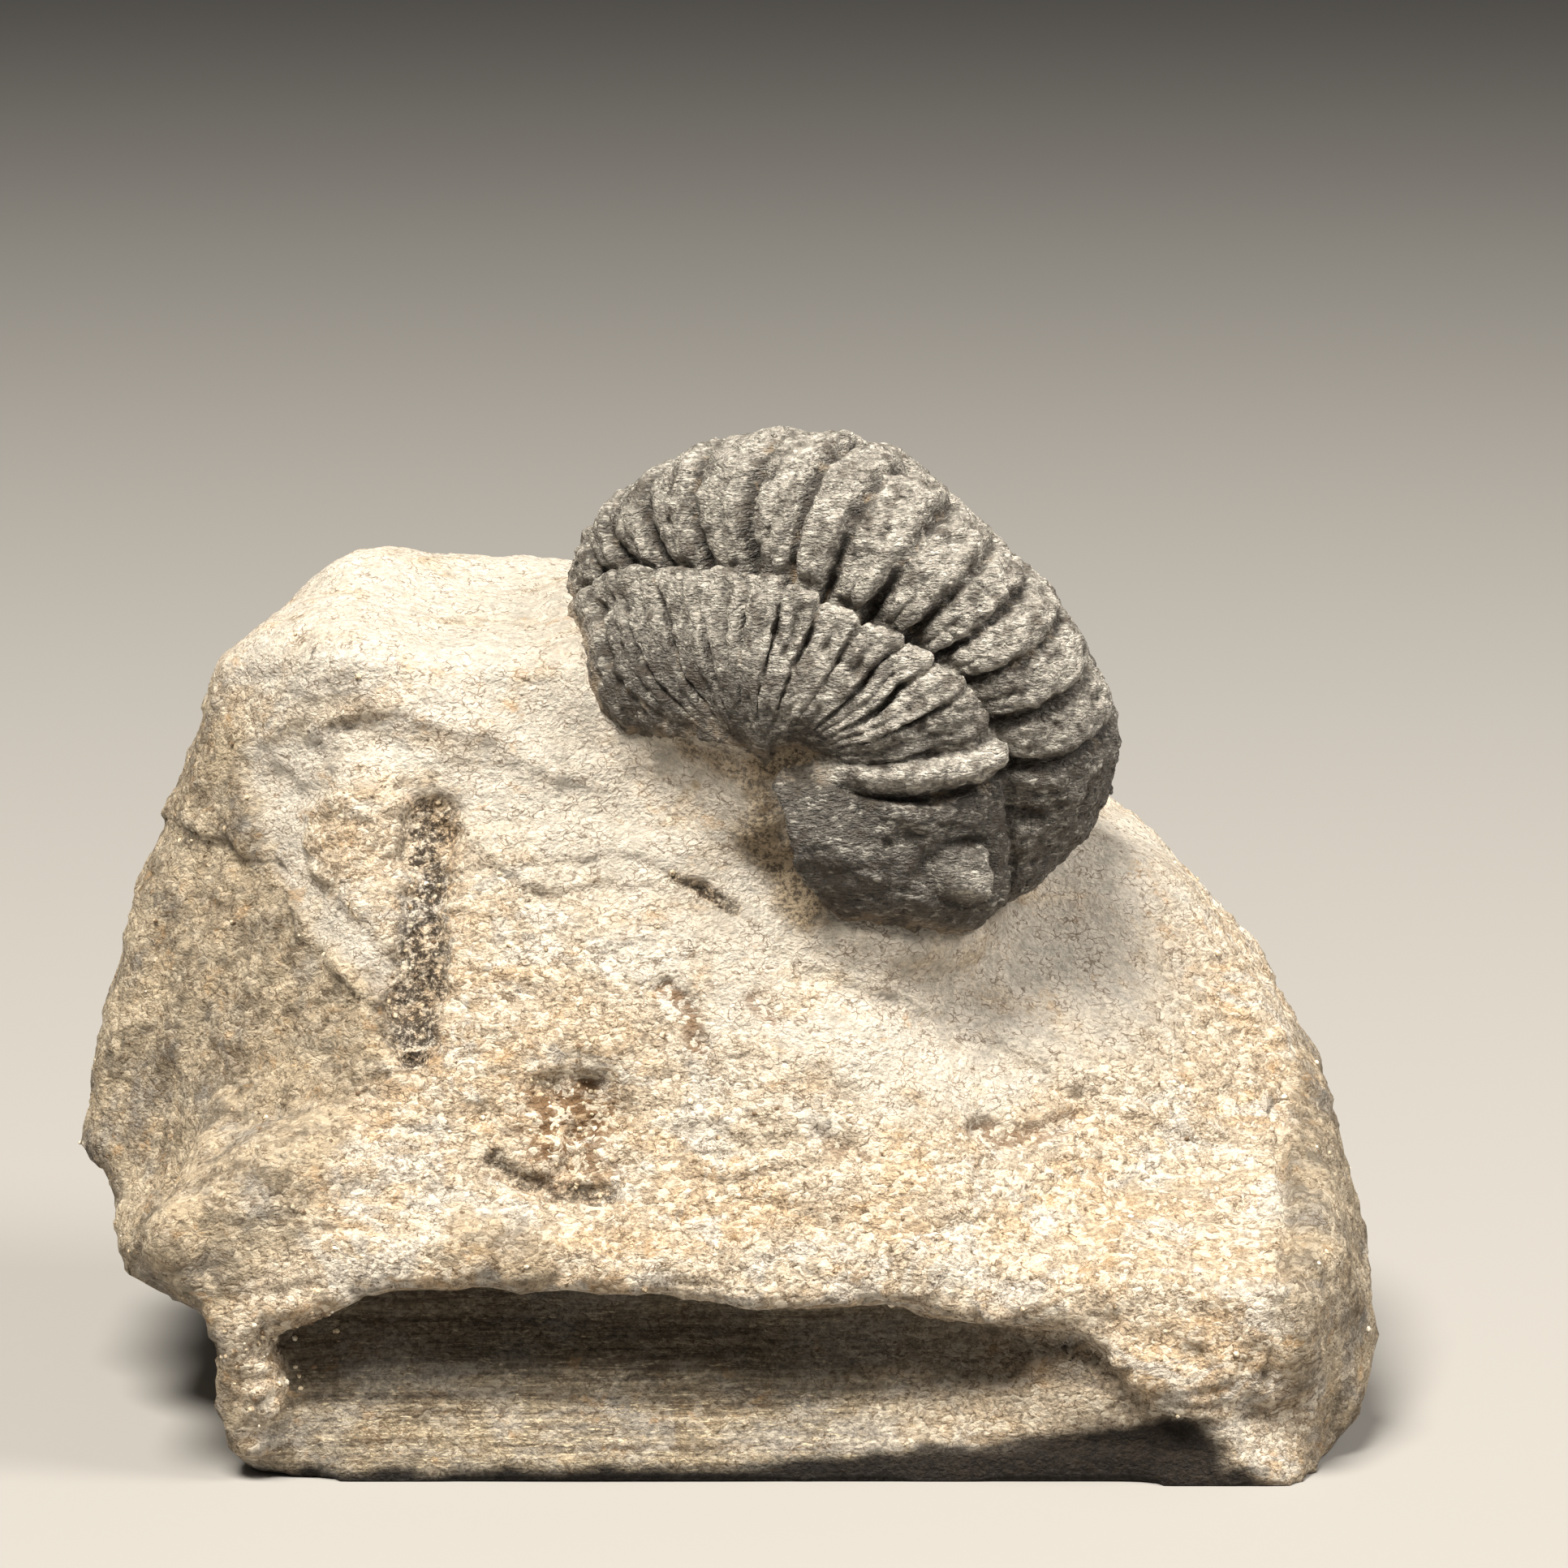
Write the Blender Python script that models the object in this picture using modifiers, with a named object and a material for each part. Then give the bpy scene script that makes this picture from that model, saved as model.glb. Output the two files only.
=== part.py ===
"""Partly enrolled trilobite on its block of limestone, in metres, +Z up.

The trilobite is a loft of cross-sections turned about its curl axis. Its head is to the
lower right, its tail to the left, and its right side faces -Y. The block is cut by
fracture planes, with a pedestal of stone under the fossil and a scoop along its front.
Both pieces are worked out in millimetres and scaled to metres when they are finished.
"""

import math

import bmesh
import bpy
import numpy as np
from mathutils import Matrix, Vector, noise

OBJECT_NAME = "trilobite_fossil"
FOSSIL_NAME = "trilobite"
BLOCK_NAME = "limestone_matrix"

MM = 0.001

# Curl of the trilobite: centre, and the directions of phi = 0, phi = 90 and the near side.
CURL_CENTRE = np.array((7.8, -4.0, 40.6))
CURL_RIGHT = np.array((0.777, -0.110, -0.620))
CURL_UP = np.array((0.410, -0.661, 0.630))
CURL_NEAR = np.array((-0.479, -0.743, -0.468))

PHI_START, PHI_END = -50.0, 236.0
STATIONS = 216
AXIAL_STEPS, INNER_STEPS, OUTER_STEPS = 11, 6, 12
AXIAL_ARC = 84.0
VENTRAL_STEPS = 5
LEAST_RADIUS = 0.2

# Stations along the curl, in degrees, and the value there in millimetres.
CREST_RADIUS = ((-50, 13.0), (-40, 13.4), (-22, 13.9), (-3, 14.1), (13, 14.0), (32, 13.3),
                (40, 12.6), (55, 12.1), (67, 11.1), (79, 10.8), (96, 10.6), (114, 11.0),
                (127, 11.8), (143, 12.3), (162, 12.9), (178, 13.7), (190, 14.7),
                (207, 16.1), (217, 16.9), (226, 17.3), (236, 17.1))
AXIS_HALF_WIDTH = ((-50, 4.8), (-25, 5.4), (-3, 5.2), (13, 4.5), (32, 4.0), (40, 3.8),
                   (55, 3.8), (79, 4.1), (96, 4.5), (114, 4.8), (127, 5.1), (145, 5.0),
                   (162, 4.8), (178, 4.3), (192, 3.6), (207, 2.8), (222, 1.6), (236, 0.8))
AXIS_HEIGHT = ((-50, 0.7), (-25, 0.7), (-3, 1.2), (13, 3.2), (32, 3.6), (40, 3.5),
               (55, 3.4), (79, 3.5), (96, 3.7), (114, 3.8), (127, 3.9), (143, 4.2),
               (162, 4.1), (178, 3.7), (190, 2.9), (207, 2.1), (222, 1.2), (236, 0.6))
INNER_PLEURA = ((-50, 1.4), (-40, 2.4), (-25, 3.4), (-3, 3.4), (20, 3.0), (40, 2.4),
                (150, 2.4), (200, 2.4), (236, 2.0))
OUTER_PLEURA = ((-50, 2.8), (-40, 4.9), (-30, 7.4), (-20, 9.1), (0, 10.4), (15, 9.9),
                (32, 8.2), (60, 7.2), (90, 7.4), (150, 8.0), (180, 9.0), (210, 9.4),
                (225, 8.8), (236, 7.2))
SLOPE_INNER = ((-50, 40), (-30, 38), (0, 42), (30, 42), (60, 36), (120, 36), (170, 34),
               (200, 22), (215, 16), (236, 10))
SLOPE_OUTER = ((-50, 74), (-30, 74), (0, 84), (30, 88), (60, 84), (120, 84), (180, 88),
               (200, 84), (236, 70))
FAR_SIDE_SPREAD = ((-50, 0.9), (-20, 0.62), (20, 0.55), (60, 0.5), (100, 0.6), (140, 0.8),
                   (180, 0.9), (236, 1.0))

# Grooves across the animal, by phi in degrees: behind the head, thorax, tail.
HEAD_GROOVE = 27.0
THORAX_GROOVES = (40, 55, 67, 79, 96, 114, 127, 143, 162, 178, 190, 200)
TAIL_GROOVES = (208, 215, 221, 226, 231)
RING_RELIEF, RIB_RELIEF, TAIL_RELIEF = 0.90, 0.60, 0.40
FURROW_DEPTH, FURROW_WIDTH = 0.50, 0.055
BORDER_DEPTH = 0.55
FAR_SIDE_WEAR = 0.5
EYE_PHI, EYE_ACROSS = 5.0, 0.60
EYE_RADII = (1.9, 1.3, 1.3)

# Fracture planes of the block: outward direction and distance from the origin.
UPPER_PLANES = (
    ((0.41, -0.66, 0.63), 25.3), ((0.00, -0.90, 0.44), 21.8), ((-0.65, -0.70, 0.25), 25.8),
    ((0.00, -0.19, 0.98), 39.9), ((0.42, -0.10, 0.90), 35.0), ((0.78, 0.00, 0.62), 36.0),
    ((0.99, 0.00, 0.10), 33.8), ((0.85, 0.00, -0.50), 25.2), ((0.85, -0.50, 0.10), 33.8),
    ((-0.60, 0.05, 0.80), 45.3), ((-0.92, 0.00, 0.39), 37.3), ((-0.97, 0.05, 0.24), 34.8),
    ((-0.75, 0.00, -0.66), 14.6), ((-0.60, 0.78, 0.10), 28.5), ((0.10, 1.00, 0.15), 21.0),
    ((0.66, 0.70, 0.20), 31.0), ((0.10, 0.62, 0.78), 41.5), ((0.05, 0.80, -0.60), 13.4),
    ((-0.30, 0.60, 0.75), 41.8),
)
LOWER_PLANES = (
    ((0.06, -0.35, 0.94), 19.0), ((0.00, -1.00, 0.05), 19.3), ((0.90, -0.43, 0.00), 34.2),
    ((0.99, 0.00, 0.10), 32.6), ((0.85, 0.00, -0.50), 24.6), ((0.00, -0.65, -0.76), 9.8),
    ((0.12, -0.64, -0.76), 10.2), ((-0.97, 0.10, -0.20), 20.5), ((0.00, 1.00, 0.00), 4.0),
    ((0.00, 0.00, -1.00), 0.0),
)
# Scoop along the front: a steep striated face at its back, under an overhanging lip, and
# the low foot of that face, which runs on to the left.
SCOOP_PLANES = (
    ((0.00, 0.90, -0.43), -17.7), ((0.03, 0.10, 1.00), 9.1), ((0.17, 0.10, 1.00), 10.3),
    ((-0.25, 0.10, 1.00), 13.3), ((-0.96, 0.00, -0.30), 18.0), ((0.00, -1.00, 0.00), 30.0),
    ((0.00, 0.00, -1.00), 5.0), ((0.60, 0.00, 0.80), 18.2),
)
FOOT_PLANES = (
    ((0.00, 0.90, -0.43), -17.7), ((-0.10, 0.10, 1.00), 5.4), ((-1.00, 0.00, 0.30), 22.6),
    ((0.00, -1.00, 0.00), 30.0), ((0.00, 0.00, -1.00), 5.0), ((0.60, 0.00, 0.80), 18.2),
)
BASE_LEVEL = 1.8
ROUGH_BLOCK = 90.0

# Lumps and hollows of the block: centre, radii and turn about Z in degrees. The first four
# lumps are the pedestal under the fossil.
LUMPS = (
    ((0.5, -0.6, 30.6), (10.3, 8.8, 8.3), 0.0), ((6.4, -0.2, 36.4), (9.5, 7.0, 7.0), 57.0),
    ((3.9, -3.9, 35.9), (7.2, 7.2, 7.2), 0.0), ((7.2, -3.6, 26.6), (7.5, 6.8, 4.6), 0.0),
    ((-19.5, -14.6, 15.0), (5.5, 3.6, 4.5), 20.0), ((-27.3, 4.0, 16.0), (4.2, 7.0, 5.0), 0.0),
    ((-8.0, 10.0, 35.0), (13.0, 7.5, 6.5), -8.0),
)
HOLLOWS = (
    ((-5.5, -15.5, 20.5), (2.6, 2.6, 1.8), 10.0), ((-14.6, -12.2, 28.0), (1.3, 1.9, 6.5), 0.0),
    ((14.5, -9.6, 16.5), (5.0, 1.8, 1.2), 15.0),
)
SHELL_VOXEL, BLOCK_VOXEL, LIP_VOXEL = 0.24, 0.62, 0.5
BLOCK_ROUGHNESS = ((0.085, 0.85), (0.24, 0.40), (0.50, 0.16))
NOISE_OFFSET = Vector((31.7, 12.4, 5.9))

SHELL_TRIANGLES, BLOCK_TRIANGLES = 5000, 5600
CLEARANCE = 0.36

FOSSIL_COLOUR = (0.085, 0.078, 0.070, 1.0)
BLOCK_COLOUR = (0.62, 0.53, 0.40, 1.0)


def smooth_curve(keys, x):
    """Value at x of a smooth curve through the keys, flat at its high and low points."""
    xs, ys = np.array(keys, float).T
    step, slope = np.diff(xs), np.diff(ys) / np.diff(xs)
    tangent = np.zeros_like(xs)
    tangent[0], tangent[-1] = slope[0], slope[-1]
    same_way = slope[1:] * slope[:-1] > 0
    mean = 2 * slope[1:] * slope[:-1] / np.where(same_way, slope[1:] + slope[:-1], 1.0)
    tangent[1:-1] = np.where(same_way, mean, 0.0)
    i = np.clip(np.searchsorted(xs, x) - 1, 0, len(step) - 1)
    t = (x - xs[i]) / step[i]
    return (ys[i] * (1 + 2 * t) * (1 - t) ** 2 + ys[i + 1] * t * t * (3 - 2 * t)
            + step[i] * (tangent[i] * t * (1 - t) ** 2 + tangent[i + 1] * t * t * (t - 1)))


def bump(x, centre, width):
    """Rounded bump of height 1 at the centre, about one width to each side."""
    return np.exp(-((x - centre) / width) ** 2)


def fade(x, low, high):
    """0 below low and 1 above high, smooth between them."""
    t = np.clip((x - low) / (high - low), 0.0, 1.0)
    return t * t * (3 - 2 * t)


def half_section(phi, side):
    """Distance across and drop from the crest, for stations phi and one side.

    The third result is the place across the shell: 0 at the crest, 1 at the axial furrow,
    2 at the bend of the pleura and 3 at its tip.
    """
    spread = smooth_curve(FAR_SIDE_SPREAD, phi) if side < 0 else np.ones_like(phi)
    half, drop = smooth_curve(AXIS_HALF_WIDTH, phi), smooth_curve(AXIS_HEIGHT, phi)
    inner, outer = smooth_curve(INNER_PLEURA, phi), smooth_curve(OUTER_PLEURA, phi)
    first, last = smooth_curve(SLOPE_INNER, phi), smooth_curve(SLOPE_OUTER, phi)
    across, down, place = [], [], []
    for i in range(AXIAL_STEPS + 1):
        angle = math.radians(AXIAL_ARC) * i / AXIAL_STEPS
        across.append(half * math.sin(angle) / math.sin(math.radians(AXIAL_ARC)))
        down.append(drop * (1 - math.cos(angle)) / (1 - math.cos(math.radians(AXIAL_ARC))))
        place.append(i / AXIAL_STEPS)
    for i in range(1, INNER_STEPS + 1):
        t = i / INNER_STEPS
        across.append(half + inner * t * (1 + spread) / 2)
        down.append(drop + 0.9 * t * t * (2 - spread) - 0.5 * math.sin(math.pi * t ** 0.8))
        place.append(1 + t)
    for i in range(OUTER_STEPS):
        t = (i + 0.5) / OUTER_STEPS
        angle = first + (last - first) * min(1, 1.5 * t) + 14 * max(0, (t - 0.7) / 0.3)
        across.append(across[-1] + outer / OUTER_STEPS * np.cos(np.radians(angle)) * spread)
        down.append(down[-1] + outer / OUTER_STEPS * np.sin(np.radians(angle)))
        place.append(2 + (i + 1) / OUTER_STEPS)
    return np.array(across).T * side, np.array(down).T, np.array(place)


def segment_share(phi, grooves):
    """Share of the way from one groove to the next, and 0 outside all of them."""
    grooves = np.array(grooves, float)
    i = np.clip(np.searchsorted(grooves, phi, side="right") - 1, 0, len(grooves) - 2)
    share = (phi - grooves[i]) / (grooves[i + 1] - grooves[i])
    return np.clip(share, 0.0, 1.0)


def arch(share, sharpness):
    """Cross-section of a ring between two grooves, 0 at the grooves and 1 at its top."""
    return (1 - np.abs(2 * share - 1) ** sharpness)


def relief(phi, place):
    """Height of rings, ribs, furrows and head features above the plain shell."""
    phi, place = np.meshgrid(phi, place, indexing="ij")
    thorax = fade(phi, 37, 41) * (1 - fade(phi, 199, 203))
    tail = fade(phi, 199, 203) * (1 - fade(phi, 230, 235))
    head = 1 - fade(phi, 37, 41)
    axis = 1 - fade(place, 0.92, 1.06)
    pleura = 1 - axis

    ring = arch(segment_share(phi, THORAX_GROOVES), 3.0)
    rib_share = segment_share(phi + 1.2 * (place - 1), THORAX_GROOVES)
    rib = arch(rib_share, 4.0) - 0.40 * bump(rib_share, 0.42, 0.13) * fade(place, 1.1, 1.5)
    height = thorax * (RING_RELIEF * axis * (ring - 0.9)
                       + RIB_RELIEF * pleura * (rib - 0.9) * (1 - 0.55 * fade(place, 2.4, 3)))
    small_ring = arch(segment_share(phi, (200,) + TAIL_GROOVES + (236,)), 2.2)
    height += tail * (TAIL_RELIEF * axis + 0.22 * pleura) * (small_ring - 0.6)

    furrow = bump(place, 1.03, 0.10) * (1 - 0.6 * fade(phi, 205, 225)) * (1 - 0.3 * head)
    height -= FURROW_DEPTH * furrow
    height -= 0.35 * bump(place, 0.97, 0.10) * thorax * (1 - ring)

    glabella = head * axis * bump(phi, -14, 24) * (1 - place ** 2 * 0.6)
    height += 0.5 * glabella
    height -= 0.75 * head * axis * bump(phi, HEAD_GROOVE, 2.2)
    for groove, depth in ((16.0, 0.35), (4.0, 0.22), (-8.0, 0.15)):
        height -= depth * head * bump(phi, groove - 3 * place, 2.0) * bump(place, 0.8, 0.25)
    height -= BORDER_DEPTH * head * pleura * bump(phi, HEAD_GROOVE - 1.0, 2.6)
    height += 0.30 * head * pleura * bump(phi, HEAD_GROOVE + 6.0, 4.0)
    height -= 0.40 * bump(phi, -36, 3.0) * (1 - 0.4 * pleura)
    height -= 0.35 * head * fade(place, 1.9, 2.3) * bump(place, 2.45, 0.35) * bump(phi, -5, 20)
    return height


def shell_side(phi, side):
    """Grid of points of one side of the shell, crest to tip, with its relief."""
    across, down, place = half_section(phi, side)
    radius = np.maximum(smooth_curve(CREST_RADIUS, phi)[:, None] - down, LEAST_RADIUS)
    angle = np.radians(phi)[:, None]
    points = (CURL_CENTRE
              + (radius * np.cos(angle))[..., None] * CURL_RIGHT
              + (radius * np.sin(angle))[..., None] * CURL_UP
              + across[..., None] * CURL_NEAR)
    along = np.gradient(points, axis=0)
    outward = np.cross(along, np.gradient(points, axis=1)) * side
    outward /= np.maximum(np.linalg.norm(outward, axis=2, keepdims=True), 1e-6)
    calm = np.clip(radius / 5.0, 0.0, 1.0)
    if side < 0:
        calm = calm * (1 - FAR_SIDE_WEAR * fade(place, 0.6, 1.0))
    return points + outward * (relief(phi, place) * calm)[..., None], outward


def new_object(name, bm, collection):
    """Object of that name in the collection, made of the bmesh, which is freed."""
    mesh = bpy.data.meshes.new(name)
    bm.to_mesh(mesh)
    bm.free()
    made = bpy.data.objects.new(name, mesh)
    collection.objects.link(made)
    return made


def apply_modifiers(thing):
    """Replace the mesh of the object by the result of its modifiers."""
    bpy.context.view_layer.update()
    graph = bpy.context.evaluated_depsgraph_get()
    mesh = bpy.data.meshes.new_from_object(thing.evaluated_get(graph))
    thing.modifiers.clear()
    old, thing.data = thing.data, mesh
    mesh.name = thing.name
    bpy.data.meshes.remove(old)


def remesh(thing, voxel):
    """One closed skin round everything in the object."""
    modifier = thing.modifiers.new("skin", 'REMESH')
    modifier.mode, modifier.voxel_size, modifier.use_smooth_shade = 'VOXEL', voxel, False
    apply_modifiers(thing)


def thin_out(thing, triangles):
    """Reduce the object to about that number of triangles."""
    count = sum(len(polygon.vertices) - 2 for polygon in thing.data.polygons)
    modifier = thing.modifiers.new("thin", 'DECIMATE')
    modifier.ratio, modifier.use_collapse_triangulate = triangles / count, True
    apply_modifiers(thing)


def add_ellipsoid(bm, centre, radii, turn=0.0, frame=None):
    """Closed ellipsoid, turned about Z or set in the given frame of three directions."""
    turned = Matrix.Rotation(math.radians(turn), 4, 'Z') if frame is None else frame
    place = Matrix.Translation(Vector(centre)) @ turned @ Matrix.Diagonal((*radii, 1.0))
    bmesh.ops.create_icosphere(bm, subdivisions=4, radius=1.0, matrix=place)


def cut_block(planes):
    """Convex block between the fracture planes."""
    bm = bmesh.new()
    bmesh.ops.create_cube(bm, size=ROUGH_BLOCK, matrix=Matrix.Translation((0, 0, 20)))
    for direction, distance in planes:
        normal = Vector(direction)
        cut = bmesh.ops.bisect_plane(
            bm, geom=bm.verts[:] + bm.edges[:] + bm.faces[:], dist=1e-5,
            plane_co=normal * (distance / normal.length_squared), plane_no=normal,
            clear_outer=True)
        rim = [item for item in cut["geom_cut"] if isinstance(item, bmesh.types.BMEdge)]
        if rim:
            bmesh.ops.contextual_create(bm, geom=rim)
    bmesh.ops.recalc_face_normals(bm, faces=bm.faces[:])
    return bm


def boolean(thing, other, operation):
    """Apply an exact Boolean of the object with the other one."""
    modifier = thing.modifiers.new(operation.lower(), 'BOOLEAN')
    modifier.solver, modifier.operation, modifier.object = 'EXACT', operation, other
    apply_modifiers(thing)


def roughen(thing):
    """Uneven fracture surface: broad lumps with smaller ones on them."""
    mesh = thing.data
    normals = [vertex.normal.copy() for vertex in mesh.vertices]
    for vertex, normal in zip(mesh.vertices, normals):
        point = vertex.co + NOISE_OFFSET
        shift = sum(size * noise.noise(point * pitch) for pitch, size in BLOCK_ROUGHNESS)
        vertex.co += normal * shift


def build_block(parts, cutters):
    """Limestone block with its pedestal, lumps, scoop and flat base."""
    block = new_object(BLOCK_NAME, cut_block(UPPER_PLANES), parts)
    bm = cut_block(LOWER_PLANES)
    for centre, radii, turn in LUMPS:
        add_ellipsoid(bm, centre, radii, turn)
    bm.from_mesh(block.data)
    bm.to_mesh(block.data)
    bm.free()
    remesh(block, BLOCK_VOXEL)

    bm = bmesh.new()
    for centre, radii, turn in HOLLOWS:
        add_ellipsoid(bm, centre, radii, turn)
    hollows = new_object("block_hollows", bm, cutters)
    remesh(hollows, BLOCK_VOXEL)
    boolean(block, hollows, 'DIFFERENCE')
    remesh(block, BLOCK_VOXEL)
    smooth = block.modifiers.new("wear", 'SMOOTH')
    smooth.factor, smooth.iterations = 0.5, 8
    apply_modifiers(block)
    for name, planes in (("block_scoop", SCOOP_PLANES), ("block_foot", FOOT_PLANES)):
        boolean(block, new_object(name, cut_block(planes), cutters), 'DIFFERENCE')
    remesh(block, LIP_VOXEL)
    roughen(block)
    thin_out(block, BLOCK_TRIANGLES)

    bm = bmesh.new()
    bm.from_mesh(block.data)
    cut = bmesh.ops.bisect_plane(bm, geom=bm.verts[:] + bm.edges[:] + bm.faces[:], dist=1e-4,
                                 plane_co=(0, 0, BASE_LEVEL), plane_no=(0, 0, -1), clear_outer=True)
    rim = [item for item in cut["geom_cut"] if isinstance(item, bmesh.types.BMEdge)]
    bmesh.ops.holes_fill(bm, edges=rim, sides=0)
    bmesh.ops.triangulate(bm, faces=bm.faces[:])
    bm.to_mesh(block.data)
    bm.free()
    return block


def build_fossil(parts, cutters, block):
    """Enrolled shell with rings, ribs, head and eyes, fitted to the top of the block."""
    phi = np.linspace(PHI_START, PHI_END, STATIONS)
    near, near_out = shell_side(phi, 1)
    far, far_out = shell_side(phi, -1)
    belly = [near[:, -1] + (far[:, -1] - near[:, -1]) * i / VENTRAL_STEPS
             for i in range(1, VENTRAL_STEPS)]
    loops = np.concatenate((far[:, ::-1], near[:, 1:], np.stack(belly, axis=1)), axis=1)
    count = loops.shape[1]

    bm = bmesh.new()
    rows = [[bm.verts.new(point) for point in row] for row in loops]
    for row, following in zip(rows, rows[1:]):
        for j in range(count):
            k = (j + 1) % count
            bm.faces.new((row[j], row[k], following[k], following[j]))
    bm.faces.new(rows[0])
    bm.faces.new(rows[-1][::-1])
    bmesh.ops.triangulate(bm, faces=bm.faces[:])
    bmesh.ops.recalc_face_normals(bm, faces=bm.faces[:])

    station = int(np.argmin(np.abs(phi - EYE_PHI)))
    place = half_section(phi, 1)[2]
    column = int(np.argmin(np.abs(place - (1 + EYE_ACROSS + 0.3))))
    for grid, outward, lift in ((near, near_out, 0.2), (far, far_out, -0.4)):
        normal = Vector(outward[station, column])
        along = Vector(grid[station + 1, column] - grid[station - 1, column])
        along = (along - normal * along.dot(normal)).normalized()
        frame = Matrix((along, normal.cross(along), normal)).transposed().to_4x4()
        centre = Vector(grid[station, column]) + normal * lift
        add_ellipsoid(bm, centre, EYE_RADII, frame=frame)

    fossil = new_object(FOSSIL_NAME, bm, parts)
    remesh(fossil, SHELL_VOXEL)
    thin_out(fossil, SHELL_TRIANGLES)

    bm = bmesh.new()
    bm.from_mesh(block.data)
    for vertex in bm.verts:
        vertex.co += vertex.normal * CLEARANCE
    seat = new_object("fossil_seat", bm, cutters)
    boolean(fossil, seat, 'DIFFERENCE')
    return fossil


def tidy_mesh(thing):
    """Merge double points, drop loose crumbs and turn the faces outwards."""
    bm = bmesh.new()
    bm.from_mesh(thing.data)
    bmesh.ops.remove_doubles(bm, verts=bm.verts[:], dist=0.02)
    bmesh.ops.dissolve_degenerate(bm, edges=bm.edges[:], dist=0.01)
    unseen, pieces = set(bm.verts), []
    while unseen:
        piece, edge_of = set(), [unseen.pop()]
        while edge_of:
            vertex = edge_of.pop()
            piece.add(vertex)
            for edge in vertex.link_edges:
                other = edge.other_vert(vertex)
                if other in unseen:
                    unseen.discard(other)
                    edge_of.append(other)
        pieces.append(piece)
    keep = max(pieces, key=len)
    bmesh.ops.delete(bm, geom=[v for v in bm.verts if v not in keep], context='VERTS')
    bmesh.ops.triangulate(bm, faces=bm.faces[:])
    bmesh.ops.recalc_face_normals(bm, faces=bm.faces[:])
    bm.to_mesh(thing.data)
    bm.free()


def dress(thing, name, colour, roughness):
    """Give the object its own plain material."""
    material = bpy.data.materials.new(name)
    material.use_nodes = True
    shader = material.node_tree.nodes["Principled BSDF"]
    shader.inputs["Base Color"].default_value = colour
    shader.inputs["Roughness"].default_value = roughness
    material.diffuse_color = colour
    thing.data.materials.clear()
    thing.data.materials.append(material)


def place_on_origin(things):
    """Centre the pieces over the origin, base at zero, and scale them to metres."""
    corners = [vertex.co for thing in things for vertex in thing.data.vertices]
    low = Vector([min(corner[i] for corner in corners) for i in range(3)])
    high = Vector([max(corner[i] for corner in corners) for i in range(3)])
    shift = Vector((-(low.x + high.x) / 2, -(low.y + high.y) / 2, -low.z))
    for thing in things:
        thing.data.transform(Matrix.Scale(MM, 4) @ Matrix.Translation(shift))
        thing.data.update()


def main():
    """Build the two pieces."""
    for thing in list(bpy.data.objects):
        bpy.data.objects.remove(thing, do_unlink=True)
    parts = bpy.data.collections.new(OBJECT_NAME)
    cutters = bpy.data.collections.new("cutters")
    for collection in (parts, cutters):
        bpy.context.scene.collection.children.link(collection)

    block = build_block(parts, cutters)
    fossil = build_fossil(parts, cutters, block)
    for thing in (block, fossil):
        tidy_mesh(thing)
    place_on_origin((block, fossil))
    dress(fossil, "dark_calcite", FOSSIL_COLOUR, 0.5)
    dress(block, "limestone", BLOCK_COLOUR, 0.9)
    for cutter in list(cutters.objects):
        bpy.data.objects.remove(cutter, do_unlink=True)
    bpy.data.collections.remove(cutters)


main()
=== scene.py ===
"""Look of a partly enrolled trilobite on its block of limestone.

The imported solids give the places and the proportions. The shell is lofted again from the
same stations with all its rings, ribs and granules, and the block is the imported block's
own skin, refined where it shows and weathered. Shapes are worked out in millimetres from
the curl of the fossil, and moved to the frame of the solids in metres.
"""

from __future__ import annotations

import logging
import math
from collections.abc import Iterator
from contextlib import contextmanager
from dataclasses import dataclass, field
from enum import Enum

import bmesh
import bpy
import numpy as np
from mathutils import Euler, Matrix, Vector
from mathutils.bvhtree import BVHTree

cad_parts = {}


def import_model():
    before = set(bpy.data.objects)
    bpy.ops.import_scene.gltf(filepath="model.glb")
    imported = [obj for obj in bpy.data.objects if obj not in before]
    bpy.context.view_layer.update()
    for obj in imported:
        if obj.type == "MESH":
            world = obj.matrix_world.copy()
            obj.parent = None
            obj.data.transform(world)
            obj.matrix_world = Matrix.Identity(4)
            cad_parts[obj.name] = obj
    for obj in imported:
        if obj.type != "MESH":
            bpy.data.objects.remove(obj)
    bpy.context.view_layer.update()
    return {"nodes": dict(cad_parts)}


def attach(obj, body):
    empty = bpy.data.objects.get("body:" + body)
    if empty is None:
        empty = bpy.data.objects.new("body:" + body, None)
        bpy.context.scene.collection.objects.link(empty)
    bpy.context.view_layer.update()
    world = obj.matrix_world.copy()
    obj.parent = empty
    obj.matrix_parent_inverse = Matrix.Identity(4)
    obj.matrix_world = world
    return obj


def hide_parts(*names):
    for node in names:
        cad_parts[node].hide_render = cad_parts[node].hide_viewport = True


LOG = logging.getLogger("trilobite_scene")
MM = 0.001
FRAME_SHIFT = np.array((-0.753, -1.091, -1.800))

# Short names of types
Array = np.ndarray
Material = bpy.types.Material
Object = bpy.types.Object
Socket = bpy.types.NodeSocket


class Side(Enum):
    """Which flank of the shell is meant: the one towards the camera, or the other."""

    NEAR = 1
    FAR = -1


class Zone(Enum):
    """Named point attributes that tell the materials where they are."""

    WORN_AND_LIT = "worn_and_lit"
    FURROW = "furrow"
    DUST = "dust"
    GRAIN = "grain"
    CALM = "calm"
    PREPARED = "prepared"
    STRIATED = "striated"
    MOTTLED = "mottled"
    SCAR = "scar"
    RUST = "rust"
    PAINTED_SHADE = "under"
    SEDIMENT = "sediment"
    DENSITY = "density"


def bump(x: Array, centre: float | Array, width: float) -> Array:
    """Rounded bump of height 1 at the centre, about one width to each side."""
    return np.exp(-(((x - centre) / width) ** 2))


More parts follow.
